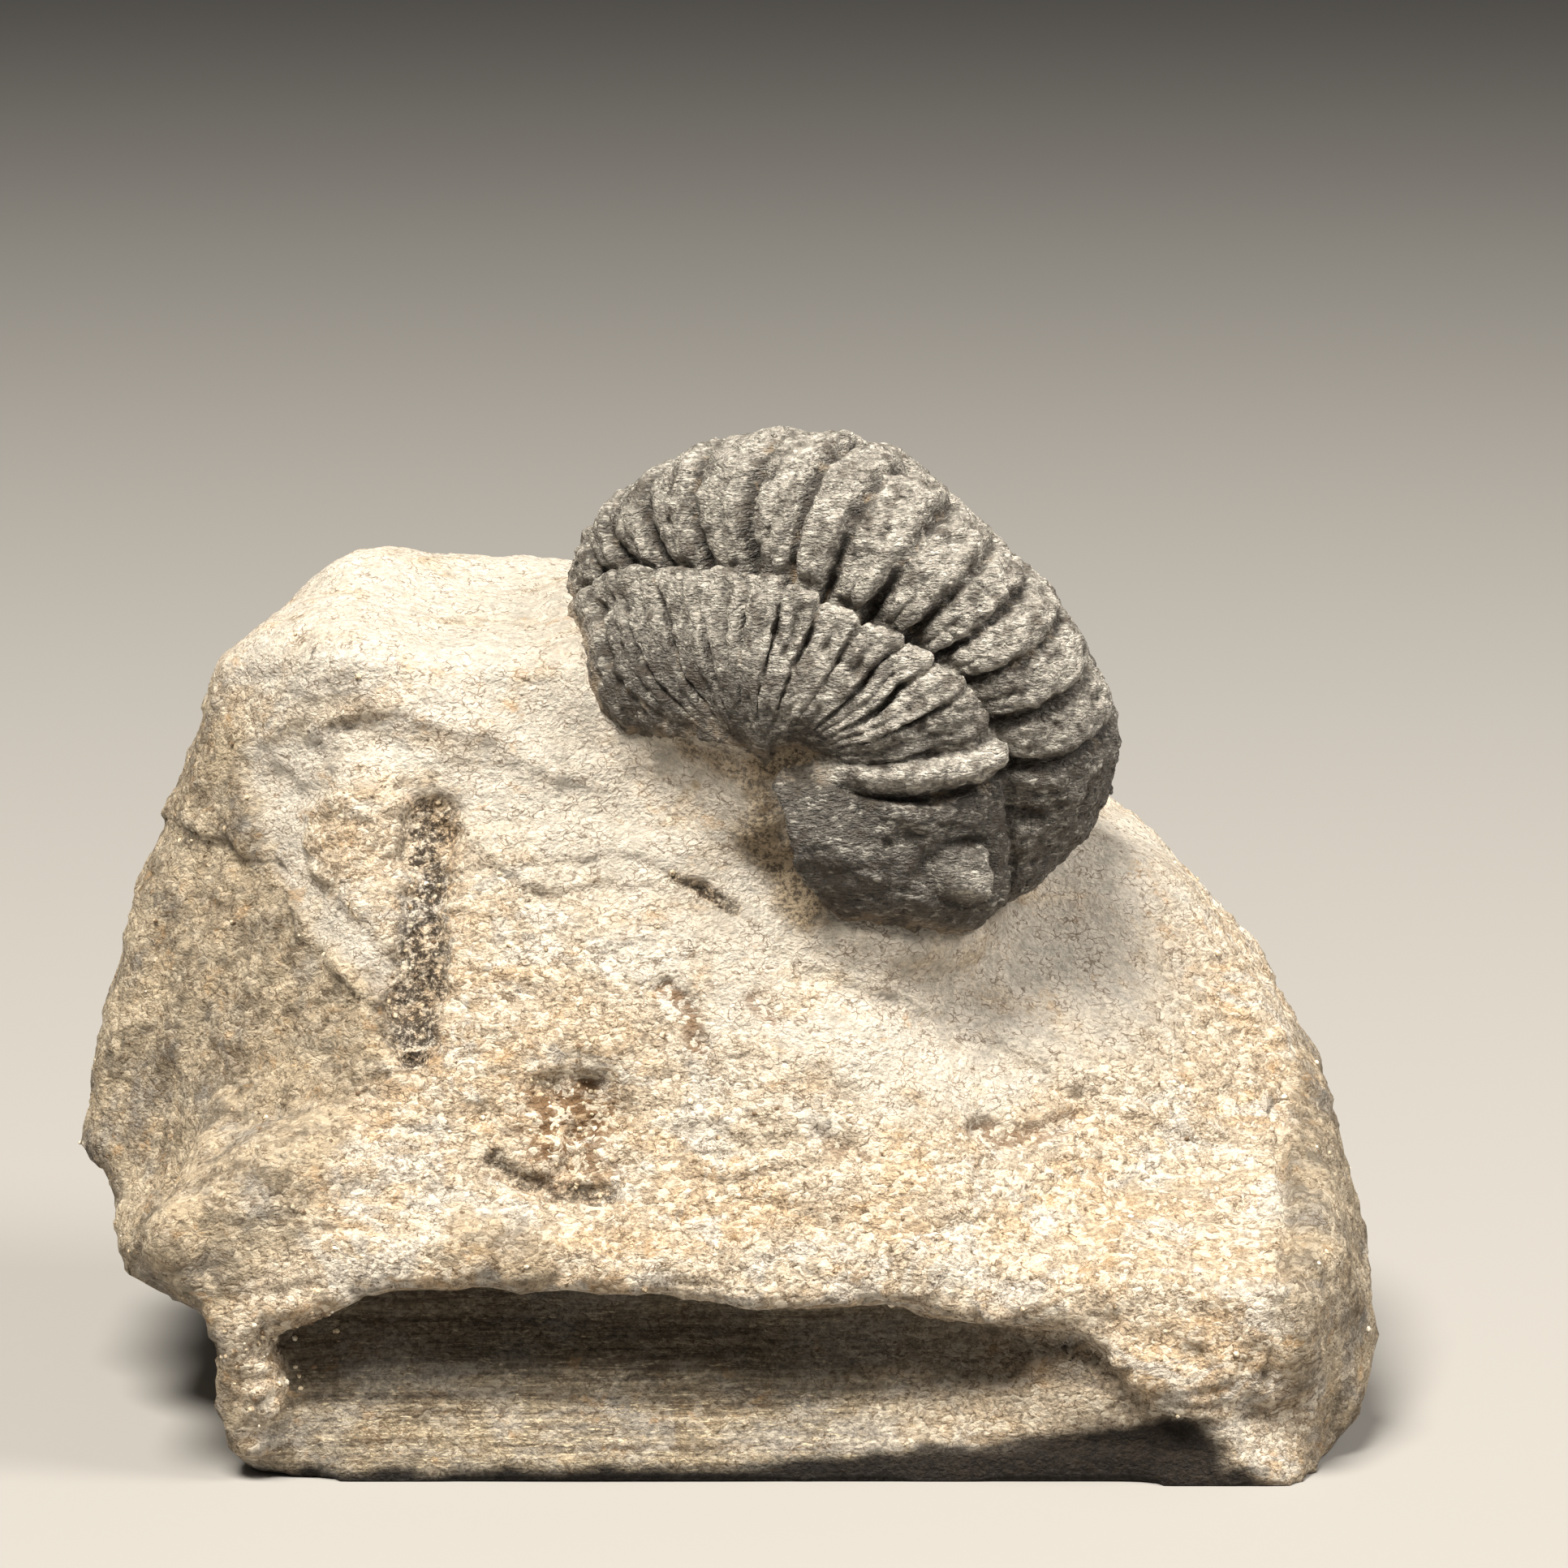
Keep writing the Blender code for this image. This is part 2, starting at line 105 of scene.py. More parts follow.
def fade(x: Array, low: float, high: float) -> Array:
    """Go smoothly from 0 at low to 1 at high."""
    t = np.clip((x - low) / (high - low), 0.0, 1.0)
    return t * t * (3 - 2 * t)


def smooth_curve(keys: tuple, x: Array) -> Array:
    """Read a smooth curve through the keys.

    Args:
        keys: Pairs of station and value, in rising order of station.
        x: Stations to read.

    Returns:
        The values there, with the curve flat at its high and low points.
    """
    xs, ys = np.array(keys, float).T
    step, slope = np.diff(xs), np.diff(ys) / np.diff(xs)
    tangent = np.zeros_like(xs)
    tangent[0], tangent[-1] = slope[0], slope[-1]
    same_way = slope[1:] * slope[:-1] > 0
    mean = 2 * slope[1:] * slope[:-1] / np.where(same_way, slope[1:] + slope[:-1], 1.0)
    tangent[1:-1] = np.where(same_way, mean, 0.0)
    i = np.clip(np.searchsorted(xs, x) - 1, 0, len(step) - 1)
    t = (x - xs[i]) / step[i]
    return (ys[i] * (1 + 2 * t) * (1 - t) ** 2 + ys[i + 1] * t * t * (3 - 2 * t)
            + step[i] * (tangent[i] * t * (1 - t) ** 2 + tangent[i + 1] * t * t * (t - 1)))


def lattice_noise(points: Array, pitch: float | tuple, seed: int) -> Array:
    """Smooth random field between -1 and 1.

    Args:
        points: Array whose last axis is x, y, z, in millimetres.
        pitch: Distance between independent values, one number or one for each axis.
        seed: Whole number that picks the field.

    Returns:
        One value for each point.
    """
    scaled = points / np.array(pitch, float)
    cell = np.floor(scaled).astype(np.int64)
    t = scaled - cell
    t = t * t * (3 - 2 * t)
    total = np.zeros(points.shape[:-1])
    for corner in range(8):
        offset = np.array((corner & 1, corner >> 1 & 1, corner >> 2 & 1))
        x, y, z = np.moveaxis(cell + offset, -1, 0)
        mixed = (x * 73856093) ^ (y * 19349663) ^ (z * 83492791) ^ (seed * 2654435761)
        mixed = ((mixed ^ (mixed >> 13)) * 1274126177) & 0x7FFFFFFF
        mixed = (mixed ^ (mixed >> 15)) & 0xFFFFFF
        share = np.prod(np.where(offset, t, 1 - t), axis=-1)
        total += share * (mixed / 0xFFFFFF * 2 - 1)
    return total


def layered_noise(points: Array, pitch: float | tuple, seed: int, layers: int = 3) -> Array:
    """Add up lattice noise at halving pitch and strength, scaled back to about -1 to 1."""
    return sum(lattice_noise(points, np.array(pitch, float) / 2 ** layer, seed + layer) / 2 ** layer
               for layer in range(layers)) / 1.6


def terraces(values: Array, count: float, edge: float) -> Array:
    """Turn a smooth field into steps, count of them to each unit, with risers edge wide."""
    scaled = values * count
    base = np.floor(scaled)
    return (base + fade(scaled - base, 0.0, edge)) / count


def path_distance(u: Array, v: Array, path: tuple) -> tuple[Array, Array]:
    """Measure how far places in the front view are from a path.

    Args:
        u: Places to the right of the middle of the view.
        v: Places above it.
        path: Corners of the path.

    Returns:
        The distances, and the same with a minus sign right of the path as it runs.
    """
    best, signed = np.full(u.shape, np.inf), np.zeros(u.shape)
    for (x0, y0), (x1, y1) in zip(path, path[1:]):
        run, rise = x1 - x0, y1 - y0
        share = np.clip(((u - x0) * run + (v - y0) * rise) / (run * run + rise * rise), 0.0, 1.0)
        away = np.hypot(u - x0 - share * run, v - y0 - share * rise)
        side = np.sign(run * (v - y0) - rise * (u - x0))
        signed = np.where(away < best, away * side, signed)
        best = np.minimum(best, away)
    return best, signed


def link_object(name: str, data: bpy.types.ID) -> Object:
    """Make an object of a mesh, light or camera and link it to the scene."""
    piece = bpy.data.objects.new(name, data)
    bpy.context.scene.collection.objects.link(piece)
    return piece


def new_mesh_object(name: str, vertices: Array, faces: list) -> Object:
    """Make a linked mesh object from points in metres and lists of point numbers."""
    mesh = bpy.data.meshes.new(name)
    mesh.from_pydata(np.asarray(vertices).tolist(), [], faces)
    mesh.update()
    return link_object(name, mesh)


def read_rows(items: bpy.types.bpy_prop_collection, label: str = "co") -> Array:
    """Read the places of a mesh's vertices, or their normals, as an array of rows."""
    values = np.empty(len(items) * 3, np.float32)
    items.foreach_get(label, values)
    return values.reshape(-1, 3).astype(float)


def set_zone(mesh: bpy.types.Mesh, zone: Zone, values: Array) -> None:
    """Store one number for each point of the mesh under the zone's name."""
    old = mesh.attributes.get(zone.value)
    layer = old or mesh.attributes.new(zone.value, "FLOAT", "POINT")
    layer.data.foreach_set("value", values.astype(np.float32).ravel())


@contextmanager
def editing(mesh: bpy.types.Mesh) -> Iterator[bmesh.types.BMesh]:
    """Give a mesh's faces and points for an edit, and write them back after it."""
    bm = bmesh.new()
    bm.from_mesh(mesh)
    yield bm
    bm.to_mesh(mesh)
    bm.free()


def distances(points: Array, piece: Object, limit: float) -> Array:
    """Measure how far points are from an object's surface.

    Args:
        points: Points in metres.
        piece: The object.
        limit: Distance beyond which nothing is looked for.

    Returns:
        The distances, or the limit for points beyond it.
    """
    tree = BVHTree.FromObject(piece, bpy.context.evaluated_depsgraph_get())
    gaps = (tree.find_nearest(Vector(point), limit)[3] for point in points)
    return np.array([limit if gap is None else gap for gap in gaps])


def apply_modifiers(piece: Object) -> None:
    """Turn the object's modifiers into a plain mesh and remove them."""
    bpy.context.view_layer.update()
    graph = bpy.context.evaluated_depsgraph_get()
    mesh = bpy.data.meshes.new_from_object(piece.evaluated_get(graph))
    piece.modifiers.clear()
    old, piece.data = piece.data, mesh
    mesh.name = piece.name
    bpy.data.meshes.remove(old)


class NodeBoard:
    """Node tree under construction."""

    tree: bpy.types.NodeTree

    def node(self, kind: str, inputs: dict, **settings: object) -> bpy.types.Node:
        """Add a node.

        Args:
            kind: Blender's name of the node type.
            inputs: Value or socket for each input, by name or number.
            **settings: Properties of the node, set before its inputs.

        Returns:
            The node.
        """
        node = self.tree.nodes.new(kind)
        for label, value in settings.items():
            setattr(node, label, value)
        for label, value in inputs.items():
            self.feed(node.inputs[label], value)
        return node

    def feed(self, socket: Socket, value: object) -> None:
        """Link a socket to another one, or set its value."""
        if isinstance(value, Socket):
            self.tree.links.new(value, socket)
        else:
            socket.default_value = value

    def math(self, operation: str, first: object, second: object = 0.0) -> Socket:
        """Result of a Math node."""
        return self.node("ShaderNodeMath", {0: first, 1: second}, operation=operation).outputs[0]

    def product(self, first: object, *others: object) -> object:
        """All the values multiplied."""
        for other in others:
            first = self.math("MULTIPLY", first, other)
        return first


class MaterialBoard(NodeBoard):
    """Material under construction, on object coordinates."""

    def __init__(self, name: str) -> None:
        """Start a material with a Principled shader."""
        self.material = bpy.data.materials.new(name)
        self.material.use_nodes = True
        self.tree = self.material.node_tree
        self.shader = self.tree.nodes["Principled BSDF"]
        self.place = self.node("ShaderNodeTexCoord", {}).outputs["Object"]

    def mapped(self, scale: tuple, turn: tuple = (0, 0, 0)) -> Socket:
        """Object coordinates in millimetres, turned in degrees, then stretched."""
        return self.node("ShaderNodeMapping", {
            "Vector": self.place, "Scale": tuple(s / MM for s in scale),
            "Rotation": tuple(math.radians(t) for t in turn)}).outputs["Vector"]

    def noise(self, vector: Socket, scale: float, detail: float = 3.0,
              roughness: float = 0.55, distortion: float = 0.0) -> Socket:
        """Noise value at the vector, between 0 and 1."""
        return self.node("ShaderNodeTexNoise", {
            "Vector": vector, "Scale": scale, "Detail": detail, "Roughness": roughness,
            "Distortion": distortion}).outputs[0]

    def jittered(self, vector: Socket, scale: float, amount: float) -> Socket:
        """Vector pushed about by noise, so that a cell pattern gets uneven edges."""
        noise = self.node("ShaderNodeTexNoise", {"Vector": vector, "Scale": scale})
        return self.node("ShaderNodeVectorMath", {0: noise.outputs["Color"], 1: (amount,) * 3, 2: vector},
                         operation="MULTIPLY_ADD").outputs[0]

    def grains(self, vector: Socket, scale: float) -> tuple[Socket, Socket]:
        """Packed grains: the distance from their middles, and each one's random tone."""
        node = self.node("ShaderNodeTexVoronoi", {"Vector": vector, "Scale": scale})
        return node.outputs["Distance"], node.outputs["Color"]

    def seams(self, vector: Socket, scale: float) -> Socket:
        """Distance from the seams between packed grains."""
        return self.node("ShaderNodeTexVoronoi", {"Vector": vector, "Scale": scale},
                         feature="DISTANCE_TO_EDGE").outputs["Distance"]

    def step(self, value: Socket, low: float, high: float,
             to_low: float = 0.0, to_high: float = 1.0) -> Socket:
        """Map the span low to high smoothly onto another span."""
        return self.node("ShaderNodeMapRange", {
            "Value": value, "From Min": low, "From Max": high, "To Min": to_low, "To Max": to_high},
            interpolation_type="SMOOTHSTEP").outputs["Result"]

    def mix(self, factor: object, first: object, second: object, blend: str = "MIX") -> Socket:
        """Mix of two colours."""
        return self.node("ShaderNodeMix", {0: factor, 6: first, 7: second},
                         data_type="RGBA", blend_type=blend).outputs[2]

    def cover(self, colour: object, other: object, *masks: object) -> Socket:
        """Lay another colour over one, by the product of the masks."""
        return self.mix(self.product(*masks), colour, other)

    def shaded(self, colour: object, amount: object) -> Socket:
        """Colour multiplied by a grey amount."""
        return self.mix(1.0, colour, amount, "MULTIPLY")

    def veins(self, field: Socket, width: float, mask: Socket) -> Socket:
        """Thin winding lines where a noise field passes its middle, kept where the mask is."""
        away = self.math("ABSOLUTE", self.math("SUBTRACT", field, 0.5))
        return self.product(self.step(away, width, 0.35 * width), mask)

    def zone(self, zone: Zone) -> Socket:
        """Value of a zone's attribute."""
        return self.node("ShaderNodeAttribute", {}, attribute_name=zone.value).outputs["Fac"]

    def finish(self, colour: object, roughness: object, specular: float = 0.5) -> Material:
        """Set the shader's colour, roughness and specular level, and give the material."""
        for label, value in (("Base Color", colour), ("Roughness", roughness),
                             ("Specular IOR Level", specular)):
            self.feed(self.shader.inputs[label], value)
        return self.material

    def relief(self, height: Socket, depth: float) -> None:
        """Bump the surface by the height, whose span is the depth in metres."""
        bumps = self.node("ShaderNodeBump", {"Strength": 1.0, "Distance": depth, "Height": height})
        self.feed(self.shader.inputs["Normal"], bumps.outputs["Normal"])


@dataclass(frozen=True)
class DarkCalcite:
    """Dark mineralised shell: grey, with lighter crests from wear and from painted light where they face the
    key light, painted glints, and sediment and painted shade in the furrows.
    """

    name: str = "dark_calcite"
    deep: tuple = (0.020, 0.016, 0.013, 1)
    body: tuple = (0.072, 0.063, 0.053, 1)
    stained: tuple = (0.080, 0.055, 0.034, 1)
    crest: tuple = (0.350, 0.322, 0.280, 1)
    painted_glint: tuple = (0.62, 0.59, 0.52, 1)
    sediment: tuple = (0.300, 0.215, 0.130, 1)
    relief_depth: float = 0.00033

    def build(self) -> Material:
        """Make the material."""
        board = MaterialBoard(self.name)
        step, zone = board.step, board.zone
        whole = board.mapped((1, 1, 1))
        scratch = board.mapped((0.6, 1.0, 1.6), (25, 30, 40))
        broad = board.noise(whole, 0.42, 3, 0.65)
        grain = board.noise(whole, 3.4, 4, 0.76)
        blotches = board.noise(whole, 0.9, 4, 0.68)
        flakes = step(board.noise(scratch, 4.2, 2, 0.65), 0.40, 0.62, -0.10, 0.10)
        worn_and_lit = board.math("ADD", board.product(zone(Zone.WORN_AND_LIT), step(broad, 0.22, 0.60, 0.55, 1.0)), flakes)
        middles, tones = board.grains(board.jittered(scratch, 2.5, 0.5), 4.8)

        # Crests take the lighter crest colour by wear and by painted light where they face the key light.
        colour = board.cover(self.body, self.crest, step(worn_and_lit, 0.08, 0.95))
        colour = board.shaded(colour, step(grain, 0.36, 0.62, 0.60, 1.24))
        chips = board.veins(board.noise(scratch, 1.3, 3, 0.65, 1.2), 0.022, step(broad, 0.40, 0.60))
        colour = board.cover(colour, self.deep, chips, 0.7)
        colour = board.shaded(colour, step(tones, 0.25, 0.75, 0.84, 1.12))
        colour = board.shaded(colour, step(blotches, 0.36, 0.56, 0.52, 1.12))
        colour = board.cover(colour, self.stained, step(blotches, 0.48, 0.36, 0.0, 0.40))
        # Painted glints: light flecks, most on the crests that face the key light.
        colour = board.cover(colour, self.painted_glint, step(tones, 0.68, 0.76), step(worn_and_lit, 0.0, 0.6, 0.45, 1.0),
                             step(blotches, 0.44, 0.56), 0.62)
        # Furrows darker: partly the shell's dark colour, partly painted shade in the hollows.
        colour = board.cover(colour, self.deep, zone(Zone.FURROW), step(grain, 0.60, 0.42, 0.05, 0.45))
        settled = board.math("MAXIMUM", board.product(zone(Zone.FURROW), step(blotches, 0.52, 0.66)),
                             board.product(zone(Zone.DUST), step(blotches, 0.40, 0.60)))
        colour = board.cover(colour, self.sediment, settled, 0.60)
        colour = board.cover(colour, self.deep, step(zone(Zone.GRAIN), 0.42, 0.14), 0.8)
        board.relief(board.math("ADD", board.product(grain, 0.9), board.product(middles, -0.55)),
                     self.relief_depth)
        return board.finish(colour, step(grain, 0.32, 0.70, 0.72, 0.38))


@dataclass(frozen=True)
class Limestone:
    """Cream and tan limestone, bleached where it was prepared, striated in the scoop."""

    name: str = "limestone"
    cream: tuple = (0.55, 0.455, 0.342, 1)
    orange: tuple = (0.54, 0.39, 0.242, 1)
    white: tuple = (0.605, 0.552, 0.478, 1)
    chalk: tuple = (0.54, 0.50, 0.435, 1)
    grey: tuple = (0.41, 0.385, 0.345, 1)
    tan: tuple = (0.36, 0.27, 0.165, 1)
    ochre: tuple = (0.42, 0.245, 0.10, 1)
    brown: tuple = (0.115, 0.070, 0.035, 1)
    dark: tuple = (0.032, 0.022, 0.014, 1)
    rust: tuple = (0.15, 0.080, 0.034, 1)
    spark: tuple = (0.76, 0.69, 0.57, 1)
    aged: tuple = ((0.15, 0.120, 0.082, 1), (0.46, 0.375, 0.26, 1), (0.26, 0.25, 0.23, 1))
    cut: tuple = ((0.105, 0.075, 0.045, 1), (0.38, 0.31, 0.21, 1), (0.66, 0.56, 0.38, 1))
    settled: tuple = ((0.065, 0.045, 0.027, 1), (0.33, 0.255, 0.165, 1))
    shadow: tuple = (0.025, 0.018, 0.011, 1)
    even: tuple = (0.93, 0.93, 0.93, 1)
    relief_depth: float = 0.00036

    def build(self) -> Material:
        """Make the material."""
        board = MaterialBoard(self.name)
        step, zone, cover = board.step, board.zone, board.cover
        whole = board.mapped((1, 1, 1))
        soft = board.mapped((0.80, 1.0, 1.15), (0, 7, 0))
        grain = board.noise(whole, 3.6, 4, 0.76)
        coarse = board.noise(soft, 1.0, 3, 0.65)
        warmth = board.noise(soft, 0.22, 3, 0.6, 1.0)
        patches = board.noise(soft, 0.30, 4, 0.65, 0.8)
        clouds = board.noise(whole, 0.28, 3, 0.6)
        uneven = board.jittered(soft, 1.6, 0.9)
        middles, tones = board.grains(uneven, 3.2)

        colour = cover(self.cream, self.orange, step(warmth, 0.42, 0.66, 0.0, 0.75))
        colour = cover(colour, self.white, step(patches, 0.50, 0.60, 0.0, 0.85))
        colour = cover(colour, self.grey, step(clouds, 0.60, 0.70, 0, 0.35))

        aged = cover(self.aged[0], self.aged[1], step(board.noise(whole, 0.38, 4, 0.74), 0.38, 0.56))
        aged = cover(aged, self.aged[2], step(clouds, 0.54, 0.66, 0, 0.6))
        colour = cover(colour, aged, zone(Zone.MOTTLED), 0.85)

        prepared = board.product(zone(Zone.PREPARED), step(patches, 0.28, 0.50))
        colour = cover(colour, cover(self.chalk, self.white, step(coarse, 0.34, 0.56)), prepared, 0.9)

        lines = board.noise(board.mapped((0.09, 0.6, 3.6), (0, -1.5, 0)), 1.0, 4, 0.74)
        threads = board.noise(board.mapped((0.16, 0.6, 2.2), (0, -1.5, 0)), 1.0, 3, 0.6)
        cut = cover(self.cut[0], self.cut[1], step(lines, 0.36, 0.64))
        cut = cover(cut, self.grey, step(patches, 0.42, 0.66, 0, 0.5))
        cut = cover(cut, self.cut[2], board.veins(threads, 0.012, step(coarse, 0.44, 0.52)))
        colour = cover(colour, cut, zone(Zone.STRIATED), 0.95)

        calm = step(board.math("MAXIMUM", prepared, zone(Zone.STRIATED)), 0.0, 1.0, 1.0, 0.35)
        smooth = board.product(board.math("MAXIMUM", prepared, zone(Zone.MOTTLED)), 0.6)
        speckle = cover(step(grain, 0.34, 0.64, 0.58, 1.20), self.even, smooth)
        colour = board.shaded(colour, speckle)
        colour = board.shaded(colour, step(coarse, 0.34, 0.56, 0.88, 1.04))
        cracks = board.veins(board.noise(soft, 1.35, 4, 0.72, 1.2), 0.018,
                             board.product(step(clouds, 0.38, 0.58), calm))
        hairs = board.product(step(board.seams(uneven, 1.9), 0.075, 0.020), step(coarse, 0.46, 0.55))
        pores = board.product(step(board.noise(soft, 2.4, 3, 0.75), 0.395, 0.345), calm)
        marks = board.math("MAXIMUM", board.product(cracks, 0.80), board.product(hairs, 0.70))
        colour = cover(colour, self.brown, board.math("MAXIMUM", marks, board.product(pores, 0.85)))
        colour = cover(colour, board.shaded(colour, step(tones, 0.25, 0.75, 0.82, 1.08)), calm)
        colour = cover(colour, self.spark, step(tones, 0.64, 0.76),
                       step(zone(Zone.MOTTLED), 0.0, 1.0, 0.50, 0.15), calm)
        colour = cover(colour, self.ochre, step(board.noise(soft, 0.8, 3, 0.7), 0.57, 0.66),
                       step(warmth, 0.46, 0.58), 0.35)

        settled = cover(self.settled[0], self.settled[1], step(grain, 0.40, 0.56))
        colour = cover(colour, settled, zone(Zone.SEDIMENT), 0.92)
        colour = cover(colour, self.rust, zone(Zone.RUST), step(coarse, 0.60, 0.48),
                       step(tones, 0.62, 0.50), 0.92)
        colour = cover(colour, self.dark, zone(Zone.SCAR), step(board.noise(whole, 1.7, 3, 0.7), 0.60, 0.46),
                       step(grain, 0.66, 0.48), 0.94)
        colour = cover(colour, self.tan, step(zone(Zone.GRAIN), 0.40, 0.16), 0.60)
        # Painted shade: darkest on the underside wedge and under the lip of the scoop.
        colour = board.shaded(colour, cover((1, 1, 1, 1), self.shadow, zone(Zone.PAINTED_SHADE)))

        height = board.math("ADD", board.product(coarse, 0.6), board.product(grain, 0.8))
        board.relief(board.math("SUBTRACT", height, board.product(middles, 0.35)), self.relief_depth)
        return board.finish(colour, step(grain, 0.35, 0.75, 0.95, 0.60), 0.35)


@dataclass(frozen=True)
class SparGrains:
    """Clear to brown sugar-like calcite grains lying in the pits of the block."""

    name: str = "spar_grains"
    brown: tuple = (0.13, 0.080, 0.042, 1)
    honey: tuple = (0.50, 0.41, 0.28, 1)
    clear: tuple = (0.74, 0.68, 0.57, 1)

    def build(self) -> Material:
        """Make the material."""
        board = MaterialBoard(self.name)
        tint = board.noise(board.mapped((1, 1, 1)), 1.9, 2, 0.5)
        colour = board.cover(self.brown, self.honey, board.step(tint, 0.42, 0.54))
        colour = board.cover(colour, self.clear, board.step(tint, 0.57, 0.64))
        return board.finish(colour, board.step(tint, 0.3, 0.7, 0.7, 0.35))


@dataclass(frozen=True)
class PaleFloor:
    """Plain matt studio floor."""

    name: str = "pale_floor"
    tone: tuple = (0.27, 0.26, 0.247, 1)

    def build(self) -> Material:
        """Make the material."""
        return MaterialBoard(self.name).finish(self.tone, 0.9)


class GeometryBoard(NodeBoard):
    """Geometry Nodes under construction, with a geometry and named sizes as inputs."""

    def __init__(self, name: str, sizes: dict[str, float]) -> None:
        """Start a tree with a geometry input and output and named sizes.

        Args:
            name: Name of the tree.
            sizes: Name and default of each number input.
        """
        self.tree = bpy.data.node_groups.new(name, "GeometryNodeTree")
        self.sizes = sizes
        face = self.tree.interface
        face.new_socket("Geometry", in_out="INPUT", socket_type="NodeSocketGeometry")
        for label, value in sizes.items():
            socket = face.new_socket(label, in_out="INPUT", socket_type="NodeSocketFloat")
            socket.default_value = value
        face.new_socket("Geometry", in_out="OUTPUT", socket_type="NodeSocketGeometry")
        self.given = self.node("NodeGroupInput", {}).outputs
        self.end = self.node("NodeGroupOutput", {})

    def noise(self, size: Socket, seed: float, detail: float) -> Socket:
        """Noise between about -1 and 1 whose lumps have the given size."""
        place = self.node("GeometryNodeInputPosition", {}).outputs[0]
        moved = self.node("ShaderNodeVectorMath", {0: place, 1: (seed, seed * 0.7, seed * 1.3)}).outputs[0]
        noise = self.node("ShaderNodeTexNoise", {
            "Vector": moved, "Scale": self.math("DIVIDE", 1.0, size), "Detail": detail,
            "Roughness": 0.6}).outputs[0]
        return self.product(self.math("SUBTRACT", noise, 0.5), 2.6)

    def scaled(self, vector: Socket, amount: Socket) -> Socket:
        """Vector times an amount."""
        return self.node("ShaderNodeVectorMath", {0: vector, 3: amount}, operation="SCALE").outputs[0]

    def zone(self, zone: Zone) -> Socket:
        """Value of a zone's attribute."""
        return self.node("GeometryNodeInputNamedAttribute", {"Name": zone.value},
                         data_type="FLOAT").outputs[0]

    def run(self, piece: Object, geometry: Socket, material: Material) -> None:
        """End the tree in Realize Instances and Set Material, run it and keep its mesh.

        Args:
            piece: Object that the tree works on.
            geometry: What the tree has made.
            material: Material that it takes.
        """
        real = self.node("GeometryNodeRealizeInstances", {"Geometry": geometry})
        dressed = self.node("GeometryNodeSetMaterial", {"Geometry": real.outputs[0], "Material": material})
        self.feed(self.end.inputs[0], dressed.outputs[0])
        modifier = piece.modifiers.new(self.tree.name, "NODES")
        modifier.node_group = self.tree
        for item in self.tree.interface.items_tree:
            if item.item_type == "SOCKET" and item.in_out == "INPUT" and item.name in self.sizes:
                modifier[item.identifier] = self.sizes[item.name]
        apply_modifiers(piece)


@dataclass
class Weathering:
    """Lumps, grain and pits pushed into a surface by Geometry Nodes, in metres."""

    lump_size: float
    lump_depth: float
    grain_size: float
    grain_depth: float
    pit_size: float
    pit_depth: float
    seed: float

    def dress(self, piece: Object, material: Material) -> None:
        """Weather the object's surface, less where its calm attribute is high.

        Args:
            piece: Mesh object with a calm attribute.
            material: Material that the result takes.
        """
        board = GeometryBoard(piece.name + "_weathering", {
            "Lump Size": self.lump_size, "Lump Depth": self.lump_depth, "Grain Size": self.grain_size,
            "Grain Depth": self.grain_depth, "Pit Size": self.pit_size, "Pit Depth": self.pit_depth})
        given = board.given
        lumps = board.noise(given["Lump Size"], self.seed, 2.0)
        grain = board.noise(given["Grain Size"], self.seed + 1.0, 3.0)
        pit = board.noise(given["Pit Size"], self.seed + 2.0, 1.0)
        pit = board.math("MAXIMUM", board.math("SUBTRACT", pit, 0.45), 0.0)
        height = board.math("ADD", board.product(lumps, given["Lump Depth"]),
                            board.product(grain, given["Grain Depth"]))
        height = board.math("SUBTRACT", height, board.product(pit, given["Pit Depth"]))
        height = board.product(height, board.math("SUBTRACT", 1.0, board.zone(Zone.CALM)))
        offset = board.scaled(board.node("GeometryNodeInputNormal", {}).outputs[0], height)
        moved = board.node("GeometryNodeSetPosition", {"Geometry": given["Geometry"], "Offset": offset})
        shade = board.math("ADD", 0.5, board.math(
            "SUBTRACT", board.product(grain, 0.35), board.product(pit, 0.8)))
        stored = board.node("GeometryNodeStoreNamedAttribute", {
            "Geometry": moved.outputs[0], "Name": Zone.GRAIN.value, "Value": shade},
            data_type="FLOAT", domain="POINT")
        board.run(piece, stored.outputs[0], material)


@dataclass
class Scatter:
    """Small rounded or angular grains set on a surface by Geometry Nodes, in metres."""

    name: str
    density: float
    small: float
    large: float
    flatness: float
    divisions: int
    seed: int

    def build(self, surface: Object, material: Material) -> Object:
        """Scatter grains over a surface by its density attribute.

        Args:
            surface: Mesh object that carries the density attribute.
            material: Material of the grains.

        Returns:
            A new object that holds the grains only.
        """
        piece = link_object(self.name, surface.data.copy())
        board = GeometryBoard(self.name + "_scatter", {
            "Density": self.density, "Small": self.small, "Large": self.large})
        given = board.given
        spread = board.node("GeometryNodeDistributePointsOnFaces", {
            "Mesh": given["Geometry"], "Seed": self.seed,
            "Density": board.product(given["Density"], board.zone(Zone.DENSITY))},
            distribute_method="RANDOM")
        grain = board.node("GeometryNodeMeshIcoSphere", {"Radius": 1.0, "Subdivisions": self.divisions})
        size = board.node("FunctionNodeRandomValue", {
            2: given["Small"], 3: given["Large"], "Seed": self.seed + 1}, data_type="FLOAT")
        shape = board.node("FunctionNodeRandomValue", {
            0: (0.75, 0.75, self.flatness * 0.8), 1: (1.25, 1.25, self.flatness * 1.2),
            "Seed": self.seed + 2}, data_type="FLOAT_VECTOR")
        placed = board.node("GeometryNodeInstanceOnPoints", {
            "Points": spread.outputs["Points"], "Instance": grain.outputs["Mesh"],
            "Rotation": spread.outputs["Rotation"],
            "Scale": board.scaled(shape.outputs[0], size.outputs[1])})
        board.run(piece, placed.outputs[0], material)
        return piece


